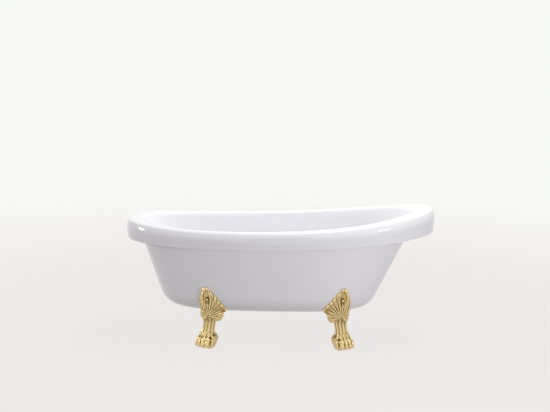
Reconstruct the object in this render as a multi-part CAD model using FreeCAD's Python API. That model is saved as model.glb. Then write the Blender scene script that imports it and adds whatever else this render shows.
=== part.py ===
"""Double-skinned slipper bath on four cast claw feet, with a cable-operated pop-up waste.

Millimetres.  +Z is up and Z = 0 is the floor.  +X runs along the bath towards the raised head
end, where the bather's back rests; the waste is near the foot end at -X.  X = 0, Y = 0 is the
middle of the rim's outline.
"""
import FreeCAD, Part
import math
import os

Vec = FreeCAD.Vector
X_AXIS, Y_AXIS, UP = Vec(1, 0, 0), Vec(0, 1, 0), Vec(0, 0, 1)

# ---- driving dimensions of the rim -------------------------------------------------------------
LENGTH = 1700.0
WIDTH = 750.0
RIM_LOW = 652.0             # top of the rim where it is lowest
RIM_LOW_X = -340.0          # where along the bath that is
FOOT_RISE = 25.0            # how much the rim climbs from there to the foot end
HEAD_RISE = 98.0            # and to the head end, the slipper's back
FOOT_RISE_POWER = 1.95      # how late the climb comes
HEAD_RISE_POWER = 2.5
BAND_DEPTH = 97.0           # the deep band below the rim's crown
BAND_WALL = 5.0
BAND_GAP = 0.6              # between the band and the outer skin's edge inside it
BAND_DROOP = 0.65           # share of the rim's climb that the band's lower edge takes
RIM_ROUND = 30.0            # from the band's face in to the crown
RIM_SHOULDER = 24.0         # from the crown down to the band's flat face
INNER_SHOULDER = 22.0       # from the crown down to the top of the bathing wall

# ---- driving dimensions of the two skins ---------------------------------------------------------
SKIRT_BASE = 190.0          # underside of the outer skin above the floor
SKIRT_WALL = 5.0
SKIRT_RADIUS = 120.0        # turn from its flat bottom into its wall
SKIRT_INSET = (297.0, 426.0, 180.0)     # rim's outline in to the flat bottom: foot, head, side
SKIRT_SLOPE = (18.6, 27.1, 11.5)        # lean of the wall from upright there, degrees
BASIN_WALL = 6.0
BASIN_RADIUS = 95.0
BASIN_INSET = (345.0, 445.0, 210.0)     # rim's outline in to the bathing floor
BASIN_SLOPE = (26.0, 28.5, 11.5)
FOOT_SQUARENESS = 2.7       # exponent of the oval outline at the foot end
HEAD_SQUARENESS_TOP = 2.15  # and at the head end, by the rim
HEAD_SQUARENESS_LOW = 3.2   # and by the floor
WALL_FOOT_CUT = 470.0       # from the rim's ends to where its end lengths meet its side lengths
WALL_HEAD_CUT = 570.0
RING_POINTS = 56            # corners of each ring; a multiple of four
TURNED_SIDES = 32           # and of each turned piece
BOLT_SIDES = 12

# ---- driving dimensions of the frame between the skins --------------------------------------------
RAIL_HEIGHT = 30.0
RAIL_WIDTH = 50.0
RAIL_WALL = 2.0
RAIL_INSET = 60.0           # from the side of the flat bottom in to the middle of a side rail
RAIL_FOOT_INSET = 148.0     # from the flat bottom's ends in to a side rail's ends
RAIL_HEAD_INSET = 109.0
CROSS_RAIL_WIDTH = 30.0
CROSS_RAIL_INSET = 75.0     # from a side rail's end to the near face of a cross rail
BOARD_THICKNESS = 12.0
BOARD_MARGIN = 18.0         # the board stops this far inside the bathing floor

# ---- driving dimensions of the feet ---------------------------------------------------------------
SHANK_FOOT_INSET = 171.5    # from the flat bottom's ends in to the shanks' axes
SHANK_HEAD_INSET = 92.5
SHANK_OUTSET = 37.0         # from the side of the flat bottom out to the shanks' axes
FOOT_TURN = 32.0            # each foot is turned out from square towards its end, degrees
FOOT_HEIGHT = 346.0         # tip of the leaf
LEAF_TURN = 12.0            # the leaf is turned less, so that it lies flat on the skin, degrees
LEAF_PROUD = 9.0            # thickness of the leaf's ground on the skin
SEAT_GAP = 0.3              # between a foot and the skin that it carries
SHANK_WIDTH = 66.0          # at its narrowest
SHANK_WAIST = 96.0          # height of the narrowest place
SHANK_RIBS = 6
SHANK_DEEP = 0.86           # its depth as a share of its width
RIB_DEPTH = 5.0
KNEE_BASE = 168.0           # where the shank swells into the knee
KNEE_OUT = 40.0             # from the shank's axis to the front of the knee
KNEE_ROUND = 1.6            # how strongly the knee falls back towards the leaf's sides
KNEE_BACK = 24.0            # and from the axis to its back
LEAF_INNER = 98.0           # reach of the leaf from the shank's axis towards the bath's middle
LEAF_OUTER = 38.0           # and towards the bath's end
LEAF_ROOT = 172.0           # height from which its petals fan
PETAL_TIPS = ((-36, 272), (-17, 318), (0, 340), (34, 310), (60, 278), (82, 246), (96, 208))
PETAL_WIDTH = 26.0
PETAL_RELIEF = 8.0
PAW_WIDTH = 112.0
PAW_HEIGHT = 66.0
PAW_REACH = 72.0            # from the shank's axis to the ends of the toes
HEEL_REACH = 36.0
TOES = 4
TOE_FAN = 15.0              # between one toe and the next, degrees
TOE_ROOT = 14.0             # the toes fan from this far behind the shank's axis
CLAW_LENGTH = 5.0
FLANGE_WIDTH = 46.0         # the tongue under the bath that the bolts go through
FLANGE_THICKNESS = 8.0
BOLT_FIRST = 100.0          # from the shank's axis in to the first bolt
BOLT_PITCH = 28.0
BOLT_RADIUS = 4.0
BOLT_CLEARANCE = 0.5
BOLT_EDGE = 14.0            # from the last bolt to the end of the tongue
BOLT_HEAD_WIDTH = 13.0      # across flats
BOLT_HEAD_HEIGHT = 5.3
NUT_PLATE_WIDTH = 16.0
NUT_PLATE_EDGE = 7.0        # from a bolt to the end of its plate
NUT_PLATE_THICKNESS = 6.0
BOLT_SPARE = 4.0            # thread past the plate

# ---- driving dimensions of the waste and overflow -------------------------------------------------
WASTE_INSET = 75.0          # from the foot end of the bathing floor to the waste
WASTE_BORE = 19.5
WASTE_NECK = 24.0           # outer radius of the flange's threaded neck
WASTE_FLANGE = 40.0
WASTE_FLANGE_THICKNESS = 3.5
WASTE_NECK_LENGTH = 26.0
WASTE_SEAL = 1.5
WASTE_LOWER_SEAL = 3.0
WASTE_BODY_WALL = 4.0
WASTE_BODY_BOTTOM = 148.0
ACCESS_RADIUS = 70.0        # plumber's opening in the outer skin
TAIL_RADIUS = 20.0          # 40 mm waste pipe
TAIL_WALL = 2.0
TAIL_END = 96.0
TAIL_LAP = 14.0             # how far the tail pipe goes up into the body
TAIL_STEP = 0.6             # its shoulder under the body
TAIL_FIT = 0.1
STRAINER_WEB = 4.0
STRAINER_DEPTH = 16.0       # from the flange's face down to the web
STEM_RADIUS = 4.0
RUNNING_GAP = 0.06          # between what slides or turns and what guides it
PLUG_RADIUS = 31.0
PLUG_TRAVEL = 12.0
PLUG_CLEAR = 1.0            # left under the strainer's web when the plug is up
OVERFLOW_HEIGHT = 545.0
OVERFLOW_HOLE = 24.0
OVERFLOW_BODY = 29.0
OVERFLOW_DEPTH = 24.0
OVERFLOW_WALL = 3.0
OVERFLOW_SEAL = 2.0
BEZEL_RADIUS = 33.0
BEZEL_BORE = 15.0
BEZEL_SCREW = 8.0           # how far its neck screws into the body
BEZEL_GAP = 0.9             # bedding under its edge, where the wall curves towards it
BEZEL_THICKNESS = 4.0
KNOB_RADIUS = 31.0
KNOB_DEPTH = 13.0
KNOB_STANDOFF = 2.0
KNOB_GRIPS = 8
SPINDLE_RADIUS = 5.0
DRUM_RADIUS = 14.0          # the cable winds on this
DRUM_WIDTH = 6.0
HOSE_RADIUS = 12.0
HOSE_BORE = 9.5
HOSE_FIT = 0.3              # between the hose and its spigots and nuts
HOSE_GAP = 1.0              # from its nuts to the bathing wall and to the board
HOSE_CORNER = 36.0          # from the outer skin in to the corner of its route
HOSE_BEND = 55.0
HOSE_NUT = 15.5
HOSE_NUT_LENGTH = 16.0
BEND_STEPS = 8
SPIGOT_LENGTH = 18.0
CABLE_RADIUS = 3.0
CABLE_SIDE = 22.0           # the cable runs this far beside the hose
CABLE_BEND = 50.0

# ---- what follows from them -------------------------------------------------------------------------
basin_floor = SKIRT_BASE + SKIRT_WALL + RAIL_HEIGHT + BOARD_THICKNESS + BASIN_WALL
skirt_top = RIM_LOW - BAND_DEPTH
rail_base = SKIRT_BASE + SKIRT_WALL
board_base = rail_base + RAIL_HEIGHT
HALF = LENGTH / 2
SKIRT_FLAT = (HALF - SKIRT_INSET[0], HALF - SKIRT_INSET[1], WIDTH / 2 - SKIRT_INSET[2])
BASIN_FLAT = (HALF - BASIN_INSET[0], HALF - BASIN_INSET[1], WIDTH / 2 - BASIN_INSET[2])
RAIL_LINE = SKIRT_FLAT[2] - RAIL_INSET
RAIL_FOOT_END = RAIL_FOOT_INSET - SKIRT_FLAT[0]
RAIL_HEAD_END = SKIRT_FLAT[1] - RAIL_HEAD_INSET
WASTE_X = WASTE_INSET - BASIN_FLAT[0]
hose_level = board_base - HOSE_NUT - HOSE_GAP
hose_depth = BASIN_WALL + HOSE_NUT + HOSE_GAP


# ---- the forms of the skins ---------------------------------------------------------------------------
def rise(x):
    """How far the rim stands above its lowest place, at x along the bath."""
    if x < RIM_LOW_X:
        return FOOT_RISE * ((RIM_LOW_X - x) / (RIM_LOW_X + HALF)) ** FOOT_RISE_POWER
    return HEAD_RISE * ((x - RIM_LOW_X) / (HALF - RIM_LOW_X)) ** HEAD_RISE_POWER


def squareness(cosine, z):
    """Exponent of the oval outline: it blends from end to end and, at the head, with height."""
    low = min(1.0, max(0.0, (RIM_LOW - z) / (RIM_LOW - SKIRT_BASE)))
    head = HEAD_SQUARENESS_TOP + (HEAD_SQUARENESS_LOW - HEAD_SQUARENESS_TOP) * low
    return head + (FOOT_SQUARENESS - head) * (1 - cosine) / 2


def on_oval(angle, foot, head, side, z):
    """Point of an oval that reaches foot, head and side from the origin."""
    c, s = math.cos(angle), math.sin(angle)
    n = squareness(c, z)
    size = (abs(c) ** n + abs(s) ** n) ** (1 / n)
    return Vec((head - foot) / 2 + (head + foot) / 2 * c / size, side * s / size, z)


def ring_angles():
    return [2 * math.pi * k / RING_POINTS for k in range(RING_POINTS)]


def closed_curve(points):
    """Closed wire through the points."""
    return Part.makePolygon(points + points[:1])


def panels(low, high):
    """Flat three-cornered faces between rings of corners, the same on both sides of the bath."""
    faces = []
    count = len(low)
    for k in range(count):
        following = (k + 1) % count
        pair = ((low[k], low[following], high[following]), (low[k], high[following], high[k]))
        if count == RING_POINTS and k >= count / 2:
            pair = ((low[k], low[following], high[k]), (low[following], high[following], high[k]))
        for corners in pair:
            if all((p - q).Length > 1e-6 for p, q in zip(corners, corners[1:] + corners[:1])):
                faces.append(Part.Face(Part.makePolygon(corners + corners[:1])))
    return faces


def flat_end(ring):
    return Part.Face(closed_curve(ring))


def closed_solid(faces):
    """Solid sewn from faces that meet edge to edge."""
    shell = Part.makeShell(faces)
    shell.sewShape()
    solid = Part.makeSolid(Part.Shell(shell.Faces))
    if solid.Volume < 0:
        solid.reverse()
    return solid


def through(rings):
    """Solid through rings of corners, closed by the first and the last."""
    faces = [flat_end(rings[0]), flat_end(rings[-1])]
    for low, high in zip(rings, rings[1:]):
        faces += panels(low, high)
    return closed_solid(faces)


def rim_ring(foot, head, side, drop, share=1.0):
    """Ring that lies inside the outline by foot, head and side and follows the rim's climb."""
    points = []
    for angle in ring_angles():
        climb = rise(on_oval(angle, HALF, HALF, WIDTH / 2, RIM_LOW).x)
        point = on_oval(angle, HALF - foot, HALF - head, WIDTH / 2 - side, RIM_LOW)
        points.append(Vec(point.x, point.y, RIM_LOW - drop + share * climb))
    return points


class Flare:
    """A flat bottom that turns up through a radius into walls that lean out."""

    def __init__(self, base, radius, flat, slope):
        self.base = base
        self.radius = radius
        self.flat = flat
        self.slope = [math.radians(s) for s in slope]

    def offset(self, gap):
        """The same form, bigger all round by gap."""
        other = Flare(self.base - gap, self.radius + gap, self.flat, (0, 0, 0))
        other.slope = self.slope
        return other

    def reach(self, z):
        """How far the form reaches towards the foot, the head and the side at height z."""
        up = z - self.base
        reaches = []
        for flat, slope in zip(self.flat, self.slope):
            turn = self.radius * (1 - math.sin(slope))
            if up < turn:
                reaches.append(flat + math.sqrt(max(0.0, self.radius ** 2 - (self.radius - up) ** 2)))
            else:
                reaches.append(flat + self.radius * math.cos(slope) + (up - turn) * math.tan(slope))
        return reaches

    def ring(self, z, share=0.0):
        """Ring at height z, lifted by a share of the rim's climb and kept on the form."""
        points = []
        for angle in ring_angles():
            climb = rise(on_oval(angle, HALF, HALF, WIDTH / 2, RIM_LOW).x)
            level = z + share * climb
            points.append(on_oval(angle, *self.reach(level), level))
        return points

    def corner_rings(self, steps):
        """Rings up the turn between the flat bottom and the walls."""
        last = self.radius * (1 - math.sin(min(self.slope)))
        sweep = math.acos(1 - last / self.radius)
        return [self.ring(self.base + self.radius * (1 - math.cos(sweep * k / steps)))
                for k in range(steps + 1)]

    def level(self, point):
        """Under 1 inside the form and over 1 outside it."""
        foot, head, side = self.reach(point.z)
        along = (point.x - (head - foot) / 2) / ((head + foot) / 2)
        across = point.y / side
        n = squareness(along / max(1e-9, math.hypot(along, across)), point.z)
        return (abs(along) ** n + abs(across) ** n) ** (1 / n)


SKIRT = Flare(SKIRT_BASE, SKIRT_RADIUS, SKIRT_FLAT, SKIRT_SLOPE)
BASIN = Flare(basin_floor, BASIN_RADIUS, BASIN_FLAT, BASIN_SLOPE)


def cylinder(radius, base, length, axis=UP):
    return Part.makeCylinder(radius, length, base, axis)


def sided(radius, base, axis, sides):
    """Corners of a regular ring around axis."""
    turn = FreeCAD.Rotation(UP, axis)
    return [base + turn.multVec(Vec(radius * math.cos(2 * math.pi * k / sides),
                                    radius * math.sin(2 * math.pi * k / sides), 0))
            for k in range(sides)]


def spun(profile, base=Vec(0, 0, 0), axis=UP, sides=TURNED_SIDES):
    """Turned solid: profile is (radius, height) pairs around the axis through base."""
    along = Vec(axis).normalize()
    rings = [sided(radius, base + along * height, axis, sides) for radius, height in profile]
    faces = []
    for low, high in zip(rings, rings[1:] + rings[:1]):
        faces += panels(low, high)
    return closed_solid(faces).removeSplitter()


def rod(radius, base, length, axis=UP, sides=16):
    return spun([(0, 0), (radius, 0), (radius, length), (0, length)], base, axis, sides)


def tube(outer, inner, base, length, axis=UP):
    return spun([(inner, 0), (outer, 0), (outer, length), (inner, length)], base, axis)


def box(low, high):
    return Part.makeBox(high[0] - low[0], high[1] - low[1], high[2] - low[2], Vec(*low))


# ---- skins -------------------------------------------------------------------------------------------
def make_basin():
    """Bathing floor, and around it the walls with the rolled rim and the deep band, in six lengths."""
    top = RIM_LOW - INNER_SHOULDER
    lip_side = WIDTH / 2 - BASIN.reach(top)[2]
    lip_foot = HALF - BASIN.reach(top + FOOT_RISE)[0]
    lip_head = HALF - BASIN.reach(top + HEAD_RISE)[1]
    seen = BASIN.corner_rings(3) + [
        BASIN.ring(top, 1.0),
        rim_ring(0.80 * lip_foot, 0.78 * lip_head, lip_side * 0.84, 6.5),
        rim_ring(RIM_ROUND + 6, RIM_ROUND + 8, RIM_ROUND, 0.0),
        rim_ring(8, 8, 8, 7.5),
        rim_ring(0, 0, 0, RIM_SHOULDER),
        rim_ring(0, 0, BAND_WALL - 1, BAND_DEPTH, BAND_DROOP),
    ]
    back = [
        rim_ring(BAND_WALL, BAND_WALL, BAND_WALL + 2.0, BAND_DEPTH, BAND_DROOP),
        rim_ring(BAND_WALL, BAND_WALL, BAND_WALL, RIM_SHOULDER + 3),
        rim_ring(RIM_ROUND + 6, RIM_ROUND + 8, RIM_ROUND, BASIN_WALL),
        BASIN.offset(BASIN_WALL).ring(top - 6, 1.0),
    ]
    under = BASIN.offset(BASIN_WALL).corner_rings(3)
    floor = through([under[0], seen[0]])
    floor = floor.cut(cylinder(WASTE_NECK + BOLT_CLEARANCE, Vec(WASTE_X, 0, basin_floor - 40), 80))
    rings = seen + back + list(reversed(under))
    faces = []
    for low, high in zip(rings, rings[1:] + rings[:1]):
        faces += panels(low, high)
    wall = closed_solid(faces)
    point, normal = overflow_seat()
    wall = wall.cut(cylinder(OVERFLOW_HOLE, point - normal * 40, 80, normal))
    cuts = (-LENGTH, WALL_FOOT_CUT - HALF, HALF - WALL_HEAD_CUT, LENGTH)
    parts = {"basin_floor": floor}
    for side, low, high in (("front", -WIDTH, 0), ("rear", 0, WIDTH)):
        for length, start, end in zip(("foot_end", "side", "head_end"), cuts, cuts[1:]):
            zone = box((start, low, 0), (end, high, 2 * RIM_LOW))
            parts["basin_%s_%s" % (side, length)] = wall.common(zone)
    return parts


def make_skirt():
    """Outer skin: flat bottom, flared wall and the shelf that closes under the band."""
    inside = SKIRT.offset(-SKIRT_WALL)
    shelf = skirt_top + SKIRT_WALL
    gap = BAND_WALL + BAND_GAP
    outer = SKIRT.corner_rings(3) + [
        SKIRT.ring(skirt_top, BAND_DROOP),
        rim_ring(gap, gap, gap + 2.0, BAND_DEPTH, BAND_DROOP),
        rim_ring(gap, gap, gap + 2.0, BAND_DEPTH - SKIRT_WALL, BAND_DROOP),
        inside.ring(shelf, BAND_DROOP),
    ]
    solid = through(outer + list(reversed(inside.corner_rings(2))))
    access = cylinder(ACCESS_RADIUS, Vec(WASTE_X, 0, SKIRT_BASE - 10), 20 + SKIRT_WALL)
    solid = solid.cut(access)
    for place in foot_places():
        for hole in bolt_places(place):
            solid = solid.cut(bolt_hole(hole, SKIRT_BASE - 1, SKIRT_WALL + 2))
    return solid


# ---- frame -------------------------------------------------------------------------------------------
def make_board():
    """Stiffening board under the bathing floor, open around the waste."""
    foot, head, side = (flat - BOARD_MARGIN for flat in BASIN_FLAT)
    outline = [on_oval(angle, foot, head, side, board_base) for angle in ring_angles()]
    board = flat_end(outline).extrude(UP * BOARD_THICKNESS)
    return board.cut(cylinder(WASTE_FLANGE + 15, Vec(WASTE_X, 0, board_base - 1), BOARD_THICKNESS + 2))


def make_side_rail(side):
    """Hollow steel rail along the bath, drilled for the feet's bolts."""
    y = side * RAIL_LINE
    outer = box((RAIL_FOOT_END, y - RAIL_WIDTH / 2, rail_base),
                (RAIL_HEAD_END, y + RAIL_WIDTH / 2, rail_base + RAIL_HEIGHT))
    inner = box((RAIL_FOOT_END - 1, y - RAIL_WIDTH / 2 + RAIL_WALL, rail_base + RAIL_WALL),
                (RAIL_HEAD_END + 1, y + RAIL_WIDTH / 2 - RAIL_WALL, rail_base + RAIL_HEIGHT - RAIL_WALL))
    rail = outer.cut(inner)
    for place in foot_places():
        if place.side == side:
            for hole in bolt_places(place):
                rail = rail.cut(bolt_hole(hole, rail_base - 1, RAIL_WALL + 2))
    return rail


def make_cross_rail(x):
    """Hollow steel rail from one side rail to the other."""
    half = RAIL_LINE - RAIL_WIDTH / 2
    outer = box((x - CROSS_RAIL_WIDTH / 2, -half, rail_base),
                (x + CROSS_RAIL_WIDTH / 2, half, rail_base + RAIL_HEIGHT))
    inner = box((x - CROSS_RAIL_WIDTH / 2 + RAIL_WALL, -half - 1, rail_base + RAIL_WALL),
                (x + CROSS_RAIL_WIDTH / 2 - RAIL_WALL, half + 1, rail_base + RAIL_HEIGHT - RAIL_WALL))
    return outer.cut(inner)


# ---- feet --------------------------------------------------------------------------------------------
class FootPlace:
    """Where a foot stands: end is -1 at the foot end and 1 at the head end, side -1 in front."""

    def __init__(self, end, side, turn=FOOT_TURN):
        self.end = end
        self.side = side
        along = SHANK_FOOT_INSET - SKIRT_FLAT[0] if end < 0 else SKIRT_FLAT[1] - SHANK_HEAD_INSET
        self.origin = Vec(along, side * (SKIRT_FLAT[2] + SHANK_OUTSET), 0)
        turn = math.radians(turn)
        self.out = Vec(end * math.sin(turn), side * math.cos(turn), 0)
        self.across = UP.cross(self.out)
        self.inner = end * side         # way along across to the middle of the bath

    def point(self, out, across, up):
        """Place in the bath's frame of a point given outwards, across and up from the shank."""
        return self.origin + self.out * out + self.across * across + UP * up

    def skin(self, across, up, form):
        """How far out from the shank's axis the form's surface is."""
        low, high = -250.0, 250.0
        for _ in range(40):
            middle = (low + high) / 2
            if form.level(self.point(middle, across, up)) < 1:
                low = middle
            else:
                high = middle
        return low


def foot_places():
    return [FootPlace(end, side) for side in (-1, 1) for end in (-1, 1)]


def bolt_places(place):
    return [place.point(-BOLT_FIRST - k * BOLT_PITCH, 0, 0) for k in range(2)]


def bolt_hole(place, base, length):
    return rod(BOLT_RADIUS + BOLT_CLEARANCE, place + UP * base, length, sides=BOLT_SIDES)


def ribbed_section(place, up, half, out):
    """Shank section: ribs with a groove on each side of them, over all but the back."""
    sweep = math.radians(230)
    corners = []
    for k in range(2 * SHANK_RIBS + 1):
        angle = -sweep / 2 + sweep * k / (2 * SHANK_RIBS)
        size = half if k % 2 else half - RIB_DEPTH
        corners.append(place.point(out + SHANK_DEEP * size * math.cos(angle), size * math.sin(angle), up))
    return corners


def make_shank(place):
    """Ribbed shank between the paw and the knee."""
    waist = SHANK_WIDTH / 2
    stations = [(PAW_HEIGHT * 0.6, 1.2, 8), (SHANK_WAIST, 1.0, 2), (KNEE_BASE - 26, 1.03, 0),
                (KNEE_BASE + 10, 1.24, 2)]
    return through([ribbed_section(place, up, waist * wide, out) for up, wide, out in stations])


def make_toe(place, k):
    """One toe, arched down from the instep to its knuckle and tip, and its claw."""
    away = k - (TOES - 1) / 2
    fan = math.radians(TOE_FAN) * away
    root = place.point(-TOE_ROOT, 0, 0)
    ahead = place.out * math.cos(fan) + place.across * math.sin(fan)
    beside = UP.cross(ahead)
    half = PAW_WIDTH / TOES / 2
    reach = PAW_REACH + TOE_ROOT - 3.5 * abs(away)
    sections = []
    for along, wide, high in ((0.25, 0.85, 0.97), (0.58, 0.90, 0.84), (0.84, 1.02, 0.58), (1.0, 0.74, 0.26)):
        foot = root + ahead * (reach * along)
        width, top = beside * (half * wide), UP * (PAW_HEIGHT * high)
        sections.append([foot - width, foot - width + top * 0.6, foot - width * 0.45 + top,
                         foot + width * 0.45 + top, foot + width + top * 0.6, foot + width])
    base = root + ahead * (reach - 10)
    tip = root + ahead * (reach + CLAW_LENGTH) + UP * 3
    side, stand = beside * 5.0, UP * 9
    claw = through([[base - side + stand, base + side + stand, base + UP * 24],
                    [tip - side * 0.2, tip + side * 0.2, tip + UP * 2.5]])
    return [through(sections), claw]


def make_paw(place):
    """Paw: heel and instep, with the toes in front."""
    def outline(up, wide, back, front):
        half = PAW_WIDTH / 2 * wide
        return [place.point(-back, -half * 0.6, up), place.point(-back - 6, 0, up),
                place.point(-back, half * 0.6, up), place.point(front, half, up),
                place.point(front, -half, up)]
    back = HEEL_REACH - 6
    pieces = [through([outline(0, 0.80, back, 28), outline(PAW_HEIGHT * 0.5, 0.74, back, 26),
                       outline(PAW_HEIGHT, 0.54, back - 9, 12)])]
    for k in range(TOES):
        pieces += make_toe(place, k)
    return pieces


def face_out(place, across, up):
    """How far out the leaf's ground lies: on the knee below, then hugging the skin."""
    swell = KNEE_OUT * (1 - KNEE_ROUND * (across / LEAF_INNER) ** 2)
    return max(swell, place.skin(across, max(up, SKIRT_BASE + 12), SKIRT) + LEAF_PROUD)


def make_knee(place):
    """Knee and ground of the leaf: swells from the shank, fans over the skin, narrows to the tip."""
    sections = []
    tall = FOOT_HEIGHT - KNEE_BASE
    below = (SKIRT_BASE - 1 - KNEE_BASE) / tall
    for along, inner, outer in ((0.0, 0.42, 0.78), (below, 0.90, 0.90), (below + 0.03, 0.94, 0.94),
                                (0.26, 0.98, 1.0), (0.48, 0.78, 1.0), (0.70, 0.44, 0.86),
                                (0.88, 0.17, 0.50), (0.97, 0.07, 0.20)):
        up = KNEE_BASE + tall * along
        reach = (place.inner * LEAF_INNER * inner, -place.inner * LEAF_OUTER * outer)
        high, low = max(reach), min(reach)
        spots = [low, low / 2, 0, high / 2, high]
        front = [place.point(face_out(place, v, up), v, up) for v in spots]
        rear = -KNEE_BACK
        if up > SKIRT_BASE:
            rear = min(face_out(place, v, up) for v in (low, high)) - KNEE_BACK
        sections.append(front + [place.point(rear, high, up), place.point(rear, low, up)])
    return through(sections)


def make_petal(place, tip):
    """One petal of the leaf: it fans from the knee over the skin and ends in a round tip."""
    across_tip, up_tip = tip[0] * place.inner, tip[1] - LEAF_ROOT
    lean, length = math.atan2(across_tip, up_tip), math.hypot(across_tip, up_tip)
    sections = []
    for along, wide, proud in ((0.04, 0.30, 0.2), (0.45, 0.72, 1.0), (0.80, 1.0, 1.0), (0.93, 0.80, 0.8),
                               (1.0, 0.35, 0.4)):
        def place_at(beside, lift):
            across = length * along * math.sin(lean) + beside * math.cos(lean)
            up = LEAF_ROOT + length * along * math.cos(lean) - beside * math.sin(lean)
            return place.point(face_out(place, across, up) + lift, across, up)
        width = PETAL_WIDTH / 2 * wide
        crest = PETAL_RELIEF * proud
        sections.append([place_at(-width, -6), place_at(-width * 0.9, crest * 0.4), place_at(0, crest),
                         place_at(width * 0.9, crest * 0.4), place_at(width, -6)])
    return through(sections)


def make_foot(place):
    """Whole casting, with its back shaped to the skin and the bolting tongue under the bath."""
    leaf = FootPlace(place.end, place.side, LEAF_TURN)
    pieces = [make_shank(place), make_knee(leaf)] + make_paw(place)
    pieces += [make_petal(leaf, tip) for tip in PETAL_TIPS]
    inner, outer = -BOLT_FIRST - BOLT_PITCH - BOLT_EDGE, 4 - KNEE_BACK
    low, high = SKIRT_BASE - FLANGE_THICKNESS, SKIRT_BASE + 6
    half = FLANGE_WIDTH / 2
    pieces.append(through([[place.point(inner, -half, up), place.point(outer, -half, up),
                            place.point(outer, half, up), place.point(inner, half, up)]
                           for up in (low, high)]))
    foot = pieces[0].fuse(pieces[1:])
    foot = foot.cut(seat_form())
    for hole in bolt_places(place):
        foot = foot.cut(bolt_hole(hole, SKIRT_BASE - 60, 80))
    return max(foot.Solids, key=lambda s: s.Volume).removeSplitter()


def seat_form():
    """Solid that the feet's backs are cut to: the outer skin with its seating gap."""
    form = SKIRT.offset(SEAT_GAP)
    top = form.ring(skirt_top, BAND_DROOP)
    above = [Vec(corner.x, corner.y, RIM_LOW + HEAD_RISE) for corner in top]
    return through(form.corner_rings(3) + [top, above])


def hexagon(width, base, height, place):
    """Hexagonal prism across flats of width, square to the foot."""
    corners = []
    for k in range(7):
        angle = math.radians(60 * k)
        corners.append(base + (place.out * math.cos(angle) + place.across * math.sin(angle))
                       * (width / math.sqrt(3)))
    return Part.Face(Part.makePolygon(corners)).extrude(UP * height)


def make_fasteners():
    """Bolts that hold the feet, and the threaded plates inside the rails, each kind as one group."""
    bolts, plates = [], []
    head_top = SKIRT_BASE - FLANGE_THICKNESS
    plate_base = rail_base + RAIL_WALL
    half = NUT_PLATE_WIDTH / 2
    for place in foot_places():
        inner, outer = -BOLT_FIRST - BOLT_PITCH - NUT_PLATE_EDGE, -BOLT_FIRST + NUT_PLATE_EDGE
        plate = through([[place.point(inner, -half, up), place.point(outer, -half, up),
                          place.point(outer, half, up), place.point(inner, half, up)]
                         for up in (plate_base, plate_base + NUT_PLATE_THICKNESS)])
        for hole in bolt_places(place):
            head = hexagon(BOLT_HEAD_WIDTH, hole + UP * (head_top - BOLT_HEAD_HEIGHT), BOLT_HEAD_HEIGHT,
                           place)
            length = plate_base + NUT_PLATE_THICKNESS + BOLT_SPARE - head_top
            bolts.append(head.fuse(rod(BOLT_RADIUS, hole + UP * head_top, length,
                                       sides=BOLT_SIDES)))
            plate = plate.cut(rod(BOLT_RADIUS, hole + UP * (plate_base - 1), NUT_PLATE_THICKNESS + 2,
                                  sides=BOLT_SIDES))
        plates.append(plate)
    return {"foot_bolts": Part.makeCompound(bolts), "rail_nut_plates": Part.makeCompound(plates)}


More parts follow.
